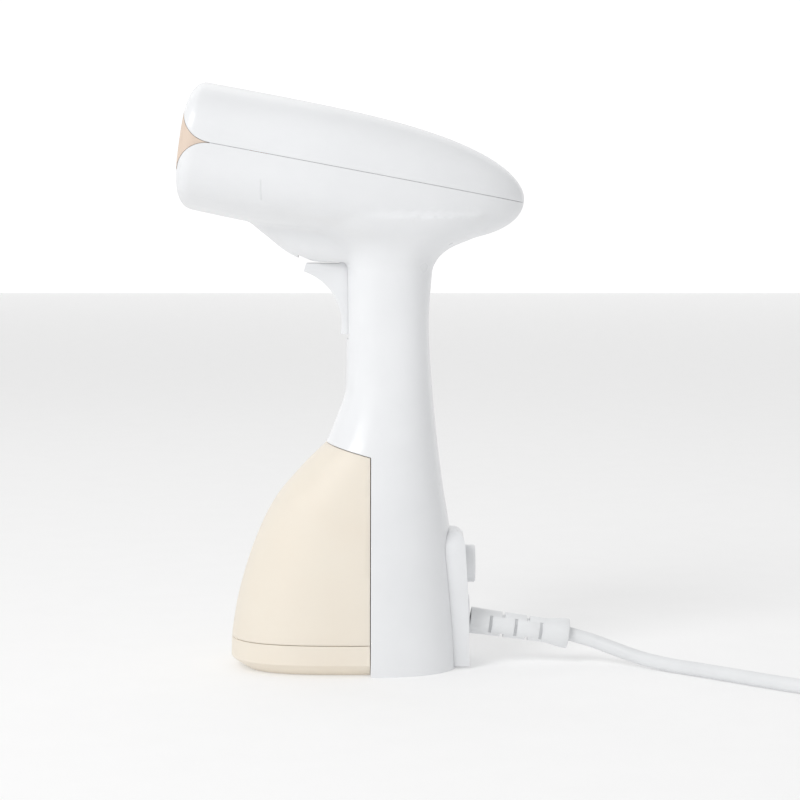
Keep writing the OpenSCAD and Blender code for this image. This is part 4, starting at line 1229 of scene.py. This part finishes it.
@dataclass
class Studio:
    """Floor, lights and camera."""

    distance: float = 1.15
    height: float = 0.212
    aim: Point = (0.0228, 0.0, 0.1245)
    frame_m: float = 0.380
    sensor: float = 36.0
    surround: float = 0.62

    def plate(self, name: str, finish: Finish, turn: Matrix) -> Obj:
        """A pale plate, far wider than the object.

        Args:
            name: Its name.
            finish: What it is dressed in.
            turn: Its place and turn.

        Returns:
            The plate.
        """
        bm = bmesh.new()
        bmesh.ops.create_grid(bm, x_segments=2, y_segments=2, size=6.0)
        return piece(name, moved(bm, turn), finish)

    def floor(self) -> Obj:
        """The floor under the object."""
        return self.plate("floor", FLOOR, Matrix())

    def wall(self) -> Obj:
        """The wall far behind the object."""
        turn = Matrix.Translation((0, 5.5, 0)) @ Matrix.Rotation(math.radians(90), 4, "X")
        return self.plate("wall", WALL, turn)

    def lamp(self, name: str, place: Point, target: Point, size: float, power: float) -> None:
        """One soft area light.

        Args:
            name: Its name.
            place: Where it stands.
            target: What it points at.
            size: Its width.
            power: Its power, in watts.
        """
        light = bpy.data.lights.new(name, "AREA")
        light.size = size
        light.energy = power
        obj = added(name, light)
        obj.location = place
        obj.rotation_euler = (Vector(target) - Vector(place)).to_track_quat("-Z", "Y").to_euler()

    def light(self) -> None:
        """Soft studio light and a bright surround."""
        world = bpy.data.worlds.new("surround")
        bpy.context.scene.world = world
        world.use_nodes = True
        back = world.node_tree.nodes["Background"]
        back.inputs["Color"].default_value = (1.0, 1.0, 1.0, 1.0)
        back.inputs["Strength"].default_value = self.surround
        self.lamp("key", (-0.95, -1.25, 1.35), (0.0, 0, 0.15), 0.9, 16.0)
        self.lamp("fill", (-0.3, 0.9, 1.3), (0.03, 0, 0.15), 1.0, 1.0)
        bpy.context.scene.view_settings.view_transform = "Standard"

    def camera(self) -> None:
        """Level camera at the side, a little above the middle."""
        cam = bpy.data.cameras.new("camera")
        obj = added("camera", cam)
        place = Vector((self.aim[0], -self.distance, self.height))
        obj.location = place
        obj.rotation_euler = (math.radians(90), 0, 0)
        cam.sensor_width = self.sensor
        cam.lens = self.sensor * self.distance / self.frame_m
        cam.shift_y = (self.aim[2] - self.height) / self.frame_m
        cam.clip_end = 50.0
        bpy.context.scene.camera = obj


def place(obj: Obj, body: str, slot: str, *nodes: str) -> Obj:
    """Puts a piece on its body in place of CAD nodes.

    Args:
        obj: The piece.
        body: The body it moves with.
        slot: A material slot name; not used.
        nodes: The CAD nodes it stands for.

    Returns:
        The piece.
    """
    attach(obj, body)
    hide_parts(*nodes)
    LOG.info("%s stands for %s", obj.name, ", ".join(nodes))
    return obj


def dress(frame: dict) -> None:
    """Gives every CAD node that stays a procedural finish.
    """
    slots = {s["node"]: s["material_slot"] for s in frame["record"]["subparts"]}
    for name, obj in frame["nodes"].items():
        finish = CAD_FINISH[slots[name]]
        if obj.data.materials:
            for i in range(len(obj.data.materials)):
                obj.data.materials[i] = finish.build()
        else:
            obj.data.materials.append(finish.build())
        LOG.info("%s wears %s", name, finish.name)


def main() -> None:
    """Builds the studio, the shells and the cord set around the frame."""
    logging.basicConfig(level=logging.INFO, format="%(name)s: %(message)s")
    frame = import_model()
    dress(frame)
    studio = Studio()
    studio.camera()
    studio.light()
    studio.floor()
    studio.wall()

    rear, cords = Rear(), CordSet()
    relief = place(rear.relief(), "housing", "relief_white", "strain_relief")
    plug = place(cords.plug(), "housing", "relief_white", "plug_body")
    pins = place(cords.pins(), "housing", "pin_nickel", "plug_pins")
    tie = place(cords.tie(), "housing", "tie_fabric", "cord_tie")
    cord = place(cords.build(), "housing", "cord_white", "cord_lead", "cord_coil", "cord_tail")
    cords.route()[0]
    cords.length(cord)

    head = Head()
    place(head.cover(), "housing", "white_shell", "head_cover")
    place(head.panel(), "housing", "champagne_panel", "steam_panel")
    body = Body(head)
    left, right = body.housing()
    place(left, "housing", "white_shell", "left_housing")
    place(right, "housing", "white_shell", "right_housing")
    place(body.tank_shell(), "tank", "champagne_tank", "tank_shell")
    place(body.tank_floor(), "tank", "champagne_tank", "tank_floor")
    place(Trigger().build(), "trigger", "white_trim", "trigger")
    place(rear.panel(), "housing", "white_trim", "rear_panel")
    place(rear.button(), "power_button", "white_trim", "power_button")
    place(rear.gland(), "housing", "white_trim", "cord_gland")


if __name__ == "__main__":
    main()
